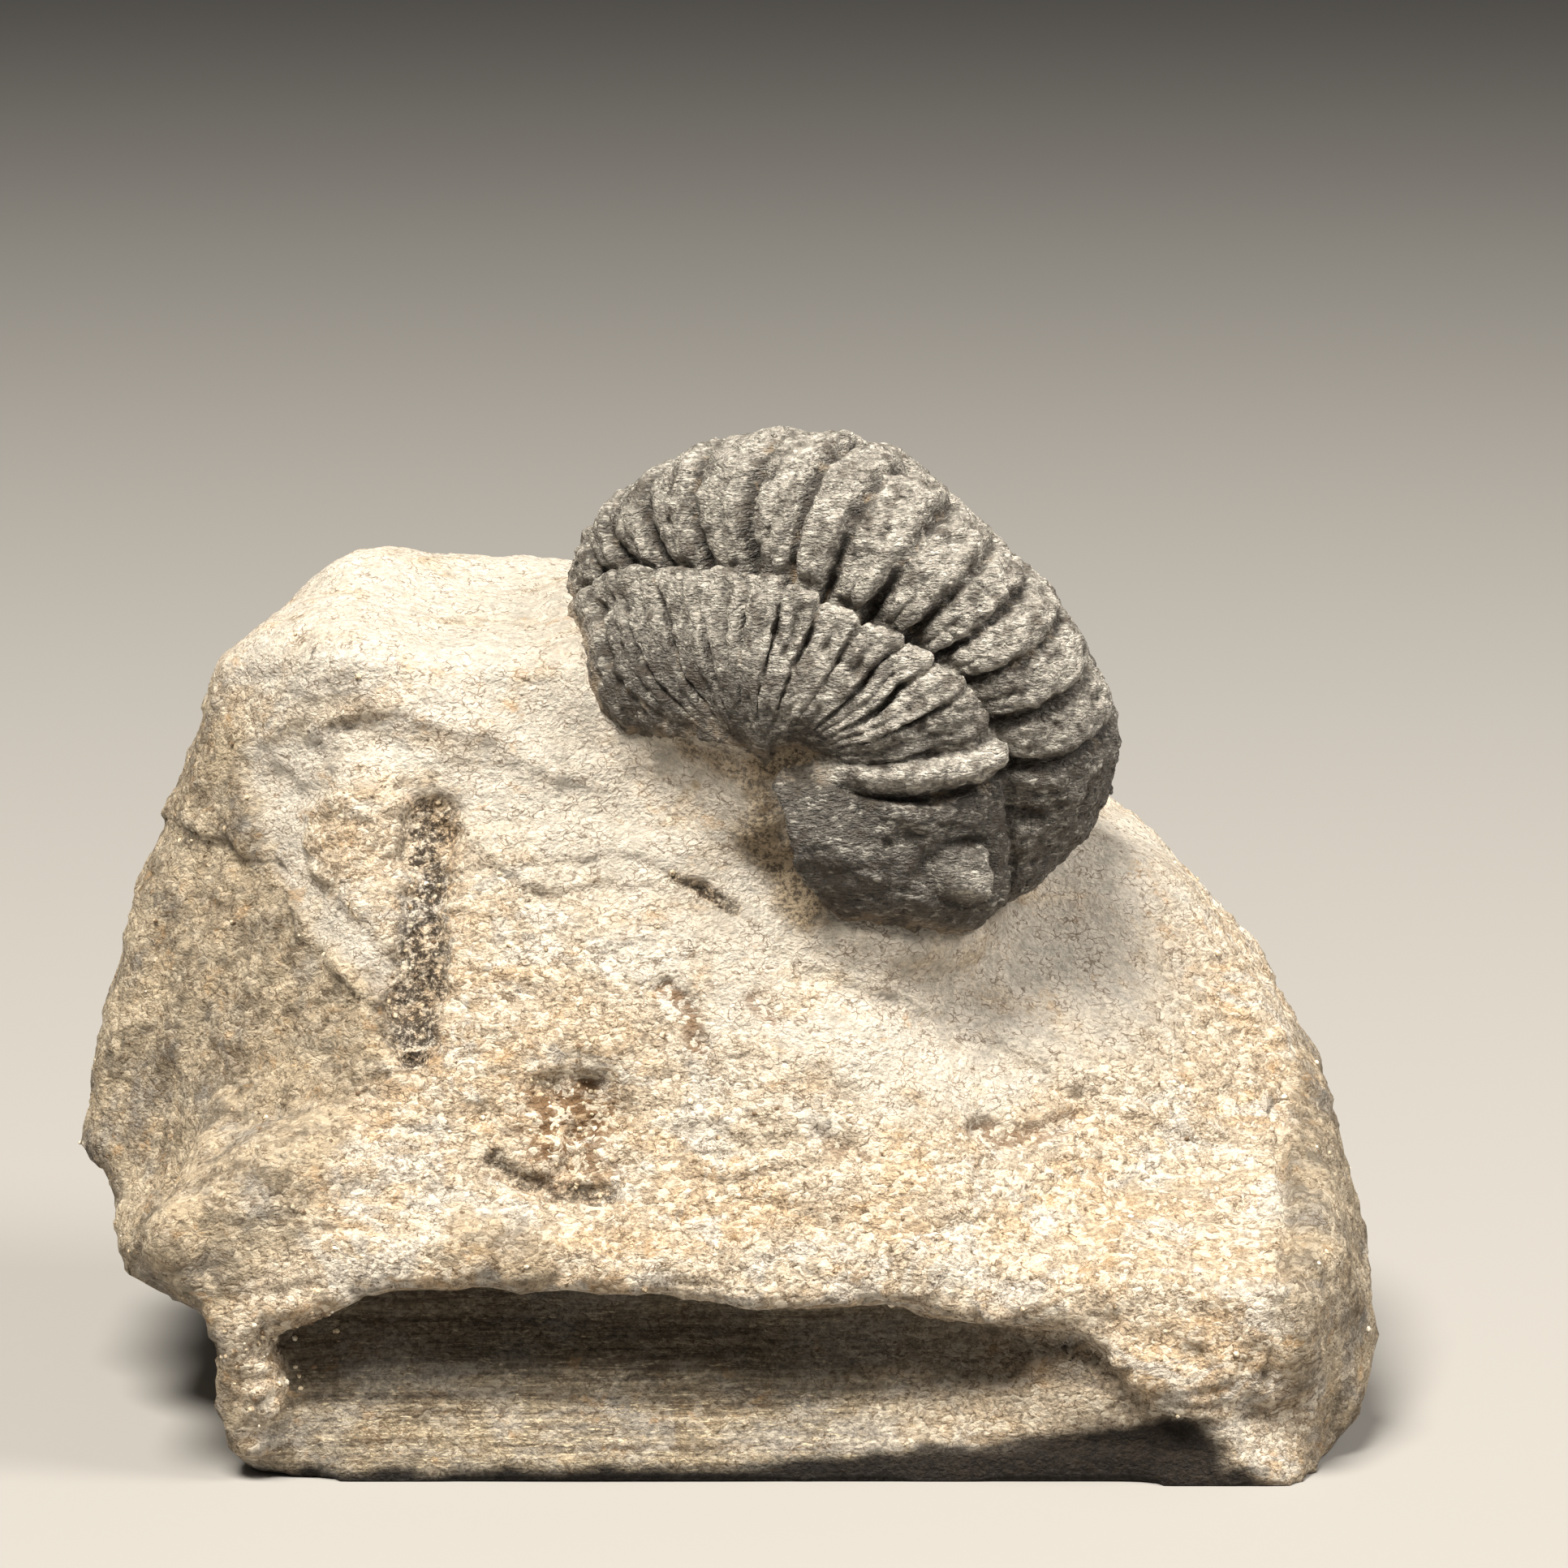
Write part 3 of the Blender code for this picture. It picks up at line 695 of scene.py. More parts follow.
@dataclass
class ShellStations:
    """Curl, section and relief of the shell: stations in degrees, sizes in millimetres."""

    centre: tuple = (7.8, -4.0, 40.6)
    right: tuple = (0.777, -0.110, -0.620)
    up: tuple = (0.410, -0.661, 0.630)
    near: tuple = (-0.479, -0.743, -0.468)
    start: float = -50.0
    end: float = 236.0
    crest: tuple = ((-50, 13.0), (-40, 13.4), (-22, 13.9), (-3, 14.1), (13, 14.0), (32, 13.3),
                    (40, 12.6), (55, 12.1), (67, 11.1), (79, 10.8), (96, 10.6), (114, 11.0),
                    (127, 11.8), (143, 12.3), (162, 12.9), (178, 13.7), (190, 14.7),
                    (207, 16.1), (217, 16.9), (226, 17.3), (236, 17.1))
    half_width: tuple = ((-50, 4.8), (-25, 5.4), (-3, 5.2), (13, 4.5), (32, 4.0), (40, 3.8),
                         (55, 3.8), (79, 4.1), (96, 4.5), (114, 4.8), (127, 5.1), (145, 5.0),
                         (162, 4.8), (178, 4.3), (192, 3.6), (207, 2.8), (222, 1.6), (236, 0.8))
    height: tuple = ((-50, 0.7), (-25, 0.7), (-3, 1.2), (13, 3.2), (32, 3.6), (40, 3.5),
                     (55, 3.4), (79, 3.5), (96, 3.7), (114, 3.8), (127, 3.9), (143, 4.2),
                     (162, 4.1), (178, 3.7), (190, 2.9), (207, 2.1), (222, 1.2), (236, 0.6))
    inner: tuple = ((-50, 1.4), (-40, 2.4), (-25, 3.4), (-3, 3.4), (20, 3.0), (40, 2.4),
                    (150, 2.4), (200, 2.4), (236, 2.0))
    outer: tuple = ((-50, 2.8), (-40, 4.9), (-30, 7.4), (-20, 9.1), (0, 10.4), (15, 9.9),
                    (32, 8.2), (60, 7.2), (90, 7.4), (150, 8.0), (180, 9.2), (200, 10.2),
                    (212, 10.4), (225, 9.4), (236, 7.4))
    slope_inner: tuple = ((-50, 40), (-30, 38), (0, 42), (30, 42), (60, 36), (120, 36), (170, 34),
                          (200, 22), (215, 16), (236, 10))
    slope_outer: tuple = ((-50, 74), (-30, 74), (0, 84), (30, 88), (60, 84), (120, 84), (170, 84),
                          (185, 79), (205, 74), (236, 66))
    far_spread: tuple = ((-50, 0.9), (-20, 0.62), (20, 0.55), (60, 0.5), (100, 0.6), (140, 0.8),
                         (180, 0.9), (236, 1.0))
    thorax: tuple = (40, 55, 67, 79, 96, 114, 127, 143, 162, 178, 190, 200)
    tail: tuple = (200, 208, 215, 221, 226, 231, 236)
    occipital: float = 27.0
    lobe_grooves: tuple = ((16.0, 0.42), (4.0, 0.28), (-8.0, 0.20))
    eye: tuple = (5.0, 1.88)


@dataclass
class TrilobiteShell:
    """The fossil's dorsal shell, from the head under the curl to the tail."""

    stations: ShellStations = field(default_factory=ShellStations)
    rows: int = 420
    axial_steps: int = 40
    inner_steps: int = 18
    outer_steps: int = 42
    belly_steps: int = 8
    axial_arc: float = 76.0
    least_radius: float = 0.2
    far_wear: float = 0.8
    skin: Weathering = field(default_factory=lambda: Weathering(
        lump_size=0.0012, lump_depth=0.00024, grain_size=0.00045, grain_depth=0.00011,
        pit_size=0.0008, pit_depth=0.00034, seed=4.7))

    def half_section(self, phi: Array, side: Side) -> tuple[Array, Array, Array]:
        """Cross-section from the crest to the tip of one flank.

        Args:
            phi: Stations along the curl, in degrees.
            side: Flank.

        Returns:
            Distance across, drop below the crest, and place across the shell: 0 at the
            crest, 1 at the axial furrow, 2 at the bend of the pleura and 3 at its tip.
        """
        s = self.stations
        spread = smooth_curve(s.far_spread, phi) if side is Side.FAR else np.ones_like(phi)
        half, drop = smooth_curve(s.half_width, phi), smooth_curve(s.height, phi)
        inner, outer = smooth_curve(s.inner, phi), smooth_curve(s.outer, phi)
        first, last = smooth_curve(s.slope_inner, phi), smooth_curve(s.slope_outer, phi)
        arc = math.radians(self.axial_arc)
        across, down, place = [], [], []
        for i in range(self.axial_steps + 1):
            angle = arc * i / self.axial_steps
            across.append(half * math.sin(angle) / math.sin(arc))
            down.append(drop * (1 - math.cos(angle)) / (1 - math.cos(arc)))
            place.append(i / self.axial_steps)
        for i in range(1, self.inner_steps + 1):
            t = i / self.inner_steps
            across.append(half + inner * t * (1 + spread) / 2)
            down.append(drop + 0.9 * t * t * (2 - spread) - 0.5 * math.sin(math.pi * t ** 0.8))
            place.append(1 + t)
        for i in range(self.outer_steps):
            t = (i + 0.5) / self.outer_steps
            angle = np.radians(first + (last - first) * min(1, 1.5 * t) + 14 * max(0, (t - 0.7) / 0.3))
            across.append(across[-1] + outer / self.outer_steps * np.cos(angle) * spread)
            down.append(down[-1] + outer / self.outer_steps * np.sin(angle))
            place.append(2 + (i + 1) / self.outer_steps)
        return np.array(across).T * side.value, np.array(down).T, np.array(place)

    def segment_share(self, phi: Array, grooves: tuple) -> Array:
        """Share of the way from one groove to the next, held at 0 and 1 outside them."""
        edges = np.array(grooves, float)
        i = np.clip(np.searchsorted(edges, phi, side="right") - 1, 0, len(edges) - 2)
        return np.clip((phi - edges[i]) / (edges[i + 1] - edges[i]), 0.0, 1.0)

    def relief(self, phi: Array, place: Array, points: Array) -> tuple[Array, Array]:
        """Rings, ribs, furrows and head features.

        Args:
            phi: Station of each point, in degrees.
            place: Place across the shell of each point.
            points: The points themselves, in millimetres.

        Returns:
            Height above the plain shell in millimetres, and how much of a furrow it is.
        """
        wander = layered_noise(points, 2.6, 11, 2)
        bend = lattice_noise(points, 4.2, 13)
        phi = phi + (0.9 * wander + 2.3 * (wander + bend) * fade(place, 1.0, 2.2)) * fade(phi, 30, 45)
        behind_head, in_tail = fade(phi, 37, 41), fade(phi, 199, 203)
        head, thorax = 1 - behind_head, behind_head * (1 - in_tail)
        tail = in_tail * (1 - fade(phi, 230, 235))
        axis = 1 - fade(place, 0.92, 1.06)
        pleura = 1 - axis
        s = self.stations

        share = self.segment_share(phi, s.thorax)
        ring = fade(share, 0.0, 0.26) * (1 - 0.55 * share ** 2) * (1 - fade(share, 0.84, 1.0))
        ring_depth = 0.70 + 0.28 * fade(place, 0.25, 0.85)
        ring_shape = ring - 0.85 - 0.20 * bump(share, 0.52, 0.06) * fade(place, 0.1, 0.6)
        rib_share = self.segment_share(phi + 1.2 * (place - 1), s.thorax)
        rib = fade(rib_share, 0.0, 0.16) * (1 - 0.35 * rib_share ** 2) * (1 - fade(rib_share, 0.90, 1.0))
        pleural_furrow = bump(rib_share, 0.42 + 0.06 * (place - 1.5), 0.12) * fade(place, 1.12, 1.6) * (
            0.55 + 0.75 * lattice_noise(points, (2.5, 2.5, 2.5), 131))
        knob = 0.22 * bump(place, 1.28, 0.20) * ring
        calm_rear = 1 - 0.45 * fade(phi, 120, 175)
        uneven = 1 + 0.45 * lattice_noise(points, 3.0, 137)
        uneven *= fade(lattice_noise(points, 1.7, 141), -0.95, -0.05)
        flank_depth = (0.24 + 0.80 * fade(place, 1.5, 2.2)) * (1 - fade(place, 2.45, 2.95)) * uneven
        height = thorax * (ring_depth * axis * ring_shape * (1 + 0.30 * lattice_noise(points, 2.4, 139))
                           + pleura * (flank_depth * calm_rear * (rib - 0.9 - 0.42 * pleural_furrow) + knob))
        tail_share = self.segment_share(phi, s.tail)
        small_ring = 1 - np.abs(2 * tail_share - 1) ** 2.4
        tail_depth = 0.34 * axis + 0.15 * pleura * (1 - fade(place, 2.0, 2.8))
        height += tail * tail_depth * (small_ring - 0.6)

        furrow = bump(place, 1.03, 0.085) * (1 - 0.6 * fade(phi, 205, 225)) * (1 - 0.3 * head)
        height -= 0.14 * furrow
        pits = bump(place, 0.90, 0.15) * thorax * (1 - ring) * fade(phi, 45, 70)
        height -= 0.10 * pits

        glabella = head * axis * bump(phi, -14, 24) * (1 - place ** 2 * 0.6)
        height += 0.5 * glabella
        neck = head * axis * bump(phi, s.occipital, 2.0)
        height -= 0.85 * neck
        lobes = np.zeros_like(height)
        for groove, depth in s.lobe_grooves:
            lobes += depth * head * bump(phi, groove - 3 * place, 1.8) * bump(place, 0.8, 0.22)
        border_line = head * pleura * bump(phi, s.occipital - 1.0, 1.9)
        height -= lobes
        height -= 1.05 * border_line
        height += 0.55 * head * pleura * bump(phi, s.occipital + 6.0, 3.4)
        front = bump(phi, -36, 2.6) * (1 - 0.4 * pleura)
        height -= 0.45 * front
        cheek = head * fade(place, 1.7, 2.3) * (1 - fade(phi, 18, 26))
        height -= 0.35 * cheek * bump(place, 2.45, 0.35) * bump(phi, -5, 20)
        eye = bump(phi, s.eye[0], 5.0) * bump(place, s.eye[1], 0.21)
        eye *= 1 + 0.6 * layered_noise(points, 1.2, 19, 2)
        height += head * (1.0 * fade(eye, 0.12, 0.80) - 0.35 * bump(eye, 0.10, 0.06))
        rough = layered_noise(points, 1.7, 23, 3)
        creases = 1 - np.abs(layered_noise(points, (2.6, 1.6, 1.6), 37, 3)) * 2.2
        height -= 0.26 * np.clip(creases - 0.55, 0, 1)
        height += 0.19 * layered_noise(points, 1.0, 43, 2)
        height += 0.22 * cheek * rough
        height += 0.10 * head * axis * layered_noise(points, 1.1, 29, 2)
        height -= 0.30 * np.clip(rough - 0.35, 0, 1) * (0.4 + 0.6 * thorax)
        height -= 0.40 * np.clip(lattice_noise(points, 0.75, 47) - 0.30, 0, 1)
        height += 0.30 * thorax * fade(place, 1.2, 1.8) * layered_noise(points, 1.6, 149, 2)
        channels = np.clip(0.5 * furrow + 0.5 * pits + neck + border_line + 0.6 * lobes
                           + thorax * fade(1 - ring, 0.45, 1.0) * axis * 0.8
                           + thorax * fade(1 - rib, 0.45, 1.0) * pleura * 0.6, 0, 1)
        return height, channels

    def flank(self, phi: Array, side: Side) -> dict[str, Array]:
        """Points of one flank with its relief, and what the finish needs to know of them.

        Args:
            phi: Stations along the curl, in degrees.
            side: Flank.

        Returns:
            Arrays named points, worn and furrow.
        """
        s = self.stations
        across, down, place = self.half_section(phi, side)
        radius = np.maximum(smooth_curve(s.crest, phi)[:, None] - down, self.least_radius)
        angle = np.radians(phi)[:, None]
        plain = (np.array(s.centre) + (radius * np.cos(angle))[..., None] * np.array(s.right)
                 + (radius * np.sin(angle))[..., None] * np.array(s.up)
                 + across[..., None] * np.array(s.near))
        outward = np.cross(np.gradient(plain, axis=0), np.gradient(plain, axis=1)) * side.value
        outward /= np.maximum(np.linalg.norm(outward, axis=2, keepdims=True), 1e-6)
        phis, places = np.meshgrid(phi, place, indexing="ij")
        height, channels = self.relief(phis, places, plain)
        calm = fade(radius, 1.2, 7.6)
        if side is Side.FAR:
            calm = calm * (1 - self.far_wear * fade(places, 0.3, 0.8))
        height = height * calm
        eye = bump(phis, s.eye[0], 6) * bump(places, s.eye[1], 0.3)
        cheek = fade(places, 1.0, 1.2) * (1 - fade(phis, 22, 30)) * (1 - eye)
        # Painted light: the crests get lighter where they face the key light, less on the cheek, on the outer
        # pleura of the rear thorax and towards the tail.
        lit = fade(outward @ np.array((-0.15, -0.35, 0.92)), -0.55, 0.45) * (0.80 + 0.20 * fade(phis, 22, 32))
        lit *= (1 - 0.82 * cheek) * (1 - 0.74 * fade(places, 2.0, 2.5) * fade(phis, 100, 145))
        lit *= 1 - 0.34 * fade(phis, 150, 195)
        return {"points": plain + outward * height[..., None],
                "worn_and_lit": fade(height, -0.95, 0.05) * (0.10 + 0.90 * lit),
                "furrow": channels * np.clip(calm, 0.1, 1.0)}

    def build(self, finish: Material) -> Object:
        """Loft the shell.

        Args:
            finish: Material of the shell.

        Returns:
            The shell.
        """
        phi = np.linspace(self.stations.start, self.stations.end, self.rows)
        near, far = self.flank(phi, Side.NEAR), self.flank(phi, Side.FAR)
        tips = near["points"][:, -1], far["points"][:, -1]
        belly = np.stack([tips[0] + (tips[1] - tips[0]) * i / self.belly_steps
                          for i in range(1, self.belly_steps)], axis=1)

        def loop(name: str, filler: float) -> Array:
            """Join the values of both flanks and the belly into closed loops."""
            values = np.concatenate((far[name][:, ::-1], near[name][:, 1:]), axis=1)
            return np.concatenate((values, np.full(belly.shape[:2], filler)), axis=1)

        points = np.concatenate((far["points"][:, ::-1], near["points"][:, 1:], belly), axis=1)
        rows, count = points.shape[:2]
        grid = np.arange(rows * count).reshape(rows, count)
        ahead = np.roll(grid, -1, axis=1)
        faces = np.stack((grid[:-1], grid[1:], ahead[1:], ahead[:-1]), axis=-1).reshape(-1, 4).tolist()
        faces.append(grid[0].tolist())
        faces.append(grid[-1][::-1].tolist())
        shell = new_mesh_object("trilobite_shell", (points.reshape(-1, 3) + FRAME_SHIFT) * MM, faces)
        mesh = shell.data
        set_zone(mesh, Zone.WORN_AND_LIT, loop("worn_and_lit", 0.0))
        set_zone(mesh, Zone.FURROW, loop("furrow", 0.6))
        set_zone(mesh, Zone.CALM, np.zeros(rows * count))
        with editing(mesh) as bm:
            bmesh.ops.recalc_face_normals(bm, faces=bm.faces[:])
            bmesh.ops.triangulate(bm, faces=[face for face in bm.faces if len(face.verts) > 4])
        self.skin.dress(shell, finish)
        shell.data.shade_smooth()
        return shell


@dataclass(frozen=True)
class Stroke:
    """Groove or step across the front of the block, in millimetres in the front view."""

    path: tuple
    width: float = 1.0
    depth: float = 0.3
    zone: Zone | None = None
    strength: float = 1.0
    is_step: bool = False

    def cut(self, u: Array, v: Array, wobble: Array) -> tuple[Array, Array]:
        """Work out the stroke.

        Args:
            u: Places to the right of the middle of the view.
            v: Places above it.
            wobble: Random field that makes the edges uneven.

        Returns:
            What to take off the height, and the weight of the stroke's zone.
        """
        away, signed = path_distance(u, v, self.path)
        uneven = away + 0.28 * self.width * wobble
        weight = 1 - fade(uneven, 0.35 * self.width, self.width)
        if self.is_step:
            riser = fade(signed + 0.4 * wobble, -0.12, 0.12)
            return -self.depth * (riser - 0.5) * np.exp(-(away / (2.2 * self.width)) ** 2), weight
        return self.depth * weight, weight


@dataclass
class LimestoneBlock:
    """The block under the fossil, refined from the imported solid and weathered.

    The voxel, the weld and the foot are in metres, other lengths in millimetres. The face of
    the scoop is a plane: factors of x, y and z, and a number that is added.
    """

    voxel: float = 0.00077
    smoothing: int = 3
    weld: float = 0.00001
    cuts: int = 2
    front: tuple = (0.0, -0.93, 0.37)
    least_facing: float = 0.12
    foot: float = 0.0008
    far_off: float = 30.0
    scoop_face: tuple = (0.0, 0.90, -0.43, 17.7)
    pit: tuple = (-11.1, -17.3)
    left_edge: tuple = ((-60, -29.0), (-27.4, -27.0), (-21.7, -23.0), (-17.6, -22.2), (-13.2, -19.7),
                        (-9.5, -20.1), (-6.7, -23.0), (-3.4, -25.0), (0, -25.8), (4, -28.0), (12, -32.0),
                        (40, -33.0))
    strokes: tuple = (
        Stroke(((-17.7, -1.5), (-17.9, -5.0), (-18.1, -8.4), (-18.6, -13.2)), 1.7, 0.75, Zone.SCAR),
        Stroke(((-25.6, 0.2), (-25.0, -3.4), (-23.0, -6.7), (-20.3, -9.3)), 1.3, 0.40, Zone.PREPARED, 0.9),
        Stroke(((-25.6, 0.6), (-20.0, 1.2), (-16.0, 0.0), (-10.0, -1.4), (-4.3, -0.8)), 2.2, 0.30,
               Zone.PREPARED),
        Stroke(((-16.5, -2.2), (-14.0, -4.4), (-11.6, -5.3), (-8.4, -5.1)), 1.2, 0.30, is_step=True),
        Stroke(((-10.8, -3.8), (-7.5, -3.6), (-4.7, -4.8), (-2.5, -6.0), (-0.2, -8.3), (4.6, -10.3),
                (9.1, -12.3), (15.0, -15.5), (20.0, -17.5)), 1.5, 0.30, is_step=True),
        Stroke(((-22.0, 3.0), (-18.3, 2.9), (-14.9, 1.9), (-11.5, 0.4)), 1.2, 0.25, is_step=True),
        Stroke(((-29.0, -2.5), (-25.5, -4.0), (-24.0, -8.0), (-20.5, -11.5)), 1.6, 0.35, is_step=True),
        Stroke(((-5.6, -4.6), (-3.4, -5.6), (-2.4, -6.2)), 0.45, 0.35, Zone.SCAR, 0.9),
        Stroke(((-14.4, -18.8), (-13.4, -19.8), (-11.0, -20.4), (-8.8, -20.7)), 0.75, 0.6, Zone.SCAR, 0.75),
        Stroke(((-10.2, -14.4), (-8.6, -16.6)), 1.8, 0.10, Zone.MOTTLED, 0.4),
        Stroke(((-15.6, -22.9), (-13.0, -24.0)), 2.2, -0.25, Zone.MOTTLED, 0.8),
        Stroke(((-5.9, -10.1), (-4.7, -11.1), (-4.3, -13.2)), 0.8, 0.35, Zone.RUST, 0.8),
        Stroke(((-1.5, -10.7), (-0.6, -11.9)), 0.7, 0.30, Zone.RUST, 0.7),
        Stroke(((9.9, -17.2), (11.9, -17.7), (14.8, -16.6)), 0.8, 0.45, Zone.RUST, 0.75),
        Stroke(((1.8, -17.6), (3.8, -18.9)), 0.7, 0.3, Zone.RUST, 0.5),
        Stroke(((24.6, -16.0), (25.3, -21.7), (24.7, -27.4), (24.1, -29.8)), 0.4, 0.45),
        Stroke(((-1.0, -2.6), (0.2, -4.4), (1.1, -6.0)), 2.0, -0.20, Zone.SEDIMENT),
        Stroke(((-4.4, 1.8), (-1.9, 0.5), (-0.6, -1.4)), 0.9, -0.10, Zone.SEDIMENT, 0.85),
        Stroke(((-1.2, 1.0), (1.6, 1.6)), 1.4, 0.0, Zone.SEDIMENT),
        Stroke(((-35.6, -17.6), (-34.4, -18.4)), 1.1, -0.3, Zone.SCAR, 0.8),
        Stroke(((-24.6, -26.6), (-22.0, -28.2)), 1.5, -0.35),
    )
    skin: Weathering = field(default_factory=lambda: Weathering(
        lump_size=0.0019, lump_depth=0.00018, grain_size=0.00055, grain_depth=0.00011,
        pit_size=0.0012, pit_depth=0.00024, seed=9.3))

    def base_skin(self, node: Object) -> Object:
        """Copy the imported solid, close its skin evenly and refine the side that shows.

        Args:
            node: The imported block.

        Returns:
            A new object.
        """
        block = link_object("limestone_block", node.data.copy())
        block.data.materials.clear()
        with editing(block.data) as bm:
            bmesh.ops.remove_doubles(bm, verts=bm.verts[:], dist=self.weld)
        for name in [layer.name for layer in block.data.uv_layers]:
            block.data.uv_layers.remove(block.data.uv_layers[name])
        modifier = block.modifiers.new("skin", "REMESH")
        modifier.mode, modifier.voxel_size = "VOXEL", self.voxel
        smooth = block.modifiers.new("even", "SMOOTH")
        smooth.factor, smooth.iterations = 0.5, self.smoothing
        apply_modifiers(block)
        toward = Vector(self.front)
        with editing(block.data) as bm:
            shown = [face for face in bm.faces if face.normal.dot(toward) > self.least_facing
                     and face.calc_center_median().z > self.foot]
            edges = list({edge for face in shown for edge in face.edges})
            bmesh.ops.subdivide_edges(bm, edges=edges, cuts=self.cuts, use_grid_fill=True, smooth=0.0)
        return block

    def sculpt(self, block: Object, shell: Object, view: Studio) -> None:
        """Give the block its zones, striations, strokes, pit and the fillet under the shell.

        Args:
            block: The refined block.
            shell: The finished shell.
            view: Studio whose front view the strokes are drawn in.
        """
        mesh = block.data
        metres, normals = read_rows(mesh.vertices), read_rows(mesh.vertex_normals, "vector")
        points = metres / MM - FRAME_SHIFT
        x, y, z = points.T
        reach = np.full(len(metres), self.far_off)
        close = (z > 12) & (np.abs(x - 6) < 24)
        reach[close] = distances(metres[close], shell, self.far_off * MM) / MM
        above_base = fade(z, 2.0, 3.4)

        a, b, c, d = self.scoop_face
        off_face = np.abs(a * x + b * y + c * z + d)
        striated = (1 - fade(off_face, 0.7, 1.3)) * (1 - fade(z, 11.2, 12.2)) * fade(x, -22.0, -20.6)
        striated *= fade(-normals[:, 1], 0.35, 0.7)
        # Painted shade on the upper part of the scoop face, under the overhanging lip.
        lip_shade = striated * fade(z - 0.04 * np.maximum(x - 2, 0), 4.9, 5.8)
        turn = layered_noise(points, 5.0, 41, 2)
        u, v = view.front_view(points)
        left = 1 - fade(u - smooth_curve(self.left_edge, v) + 1.6 * turn, -1.2, 1.2)
        left *= 1 - fade(v, 3.0, 9.0) * 0.6
        back = fade(normals[:, 1], 0.0, 0.5)
        right = fade(u + turn, 24.2, 26.0) * (1 - fade(v, -14, -8))
        mottled = np.clip(left + 0.8 * back + 0.95 * right, 0, 1) * (1 - striated)
        prepared = 1 - fade(reach + 3.0 * turn, 5.0, 12.0)
        prepared = np.clip(prepared + fade(z + 2 * turn, 36, 41) * 0.9, 0, 1)
        wobble = lattice_noise(points, 1.2, 55)
        zones = {zone: np.zeros(len(points)) for zone in (Zone.SCAR, Zone.RUST, Zone.SEDIMENT)}
        zones.update({Zone.PREPARED: prepared, Zone.MOTTLED: mottled})
        cuts = np.zeros(len(points))
        facing = fade(-normals[:, 1], -0.10, 0.20)
        for stroke in self.strokes:
            depth, weight = stroke.cut(u, v, wobble)
            cuts += depth * facing
            if stroke.zone is not None:
                zones[stroke.zone] = np.maximum(zones[stroke.zone], weight * facing * stroke.strength)
        mottled = zones[Zone.MOTTLED]
        prepared = zones[Zone.PREPARED] * (1 - zones[Zone.SCAR])
        from_pit = np.hypot((u - self.pit[0]) * 0.8, v - self.pit[1])
        pit = (1 - fade(from_pit + 1.2 * wobble, 1.2, 3.2)) * facing
        zones[Zone.RUST] = np.maximum(zones[Zone.RUST], pit)
        # Painted shade on the underside wedge along the foot of the front, where it faces down.
        line = -34.2 + 0.10 * np.maximum(u + 4, 0)
        under = 1 - fade(v + 0.35 * wobble - line, -0.35, 0.35)
        under *= 1 - fade(u + 0.8 * (v + 33.5) + 1.3 * wobble, 21.2, 23.4)
        under *= fade(-normals[:, 1] - normals[:, 2], 0.0, 0.5)

        fibre = layered_noise(points, (2.0, 1.2, 0.8), 61, 3)
        lumps = layered_noise(points, 2.3, 71, 3)
        broad = layered_noise(points, (9.0, 6.0, 4.5), 81, 3)
        steps = terraces(broad + 0.05 * wobble, 4.0, 0.50) - broad
        lines = layered_noise(points, (9.0, 3.0, 0.42), 91, 3)
        plain = 1 - striated
        worked = 1 - 0.75 * prepared
        corner = fade(normals[:, 2], 0.2, 0.7) * fade(z, 30, 36)
        height = 0.15 * fibre * (1 - mottled) * plain * worked
        height += corner * (1.2 * bump(x, -17.5, 3.5) + 0.7 * fade(-x, 2, 10))
        outer = fade(-normals[:, 0], 0.1, 0.6) * fade(-u, 26.5, 29.0)
        height += outer * (1.7 * bump(v, -23.0, 2.3) - 1.3 * bump(v, -27.9, 1.8))
        height += (0.36 * mottled + 0.14 * (1 - mottled) * worked) * lumps * plain
        height += 1.5 * steps * plain * worked * (1 - 0.4 * mottled)
        filled = fade(x, 12.0, 18.5) * (1 - fade(x, 19.5, 22.5)) * fade(z, 3.5, 6.0)
        height += (0.13 * lines + 1.3 * filled) * striated
        height -= zones[Zone.SCAR] * 0.30 * lattice_noise(points, 0.7, 101)
        height -= pit * (0.32 + 0.65 * np.clip(lattice_noise(points, 0.8, 103), -0.4, 1))
        height += zones[Zone.SEDIMENT] * 0.22 * lattice_noise(points, 0.6, 105)
        height -= cuts * plain
        height += 0.75 * bump(reach, 0.0, 1.1)
        height *= above_base
        moved = metres + normals * (height * MM)[:, None]
        mesh.vertices.foreach_set("co", moved.astype(np.float32).ravel())
        mesh.update()

        calm = 1 - above_base * (1 - 0.55 * striated) * (1 - 0.45 * prepared)
        # Painted shade: the underside wedge, the scoop under its lip, and the right side a little darker.
        under = np.maximum(np.maximum(under, 0.62 * lip_shade), 0.14 * right)
        striated = striated * (1 - 0.8 * fade(x, 4, 16))
        zones.update({Zone.CALM: np.clip(calm, 0, 1), Zone.PREPARED: prepared, Zone.STRIATED: striated,
                      Zone.PAINTED_SHADE: under})
        pockets = 0.03 * plain * (1 - prepared) + 0.9 * pit + 0.15 * zones[Zone.SCAR]
        nose = bump(np.linalg.norm((points - np.array((-20.5, -18.0, 8.5))) * (0.6, 1, 1), axis=1), 0, 2.0)
        zones[Zone.DENSITY] = np.clip(pockets + nose, 0, 1) * above_base
        for zone, values in zones.items():
            set_zone(mesh, zone, values)

    def build(self, node: Object, shell: Object, view: Studio, finish: Material) -> Object:
        """Make the finished block.

        Args:
            node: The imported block.
            shell: The finished shell that it carries.
            view: Studio whose front view the strokes are drawn in.
            finish: Material of the block.

        Returns:
            The block.
        """
        block = self.base_skin(node)
        self.sculpt(block, shell, view)
        self.skin.dress(block, finish)
        block.data.shade_smooth()
        return block


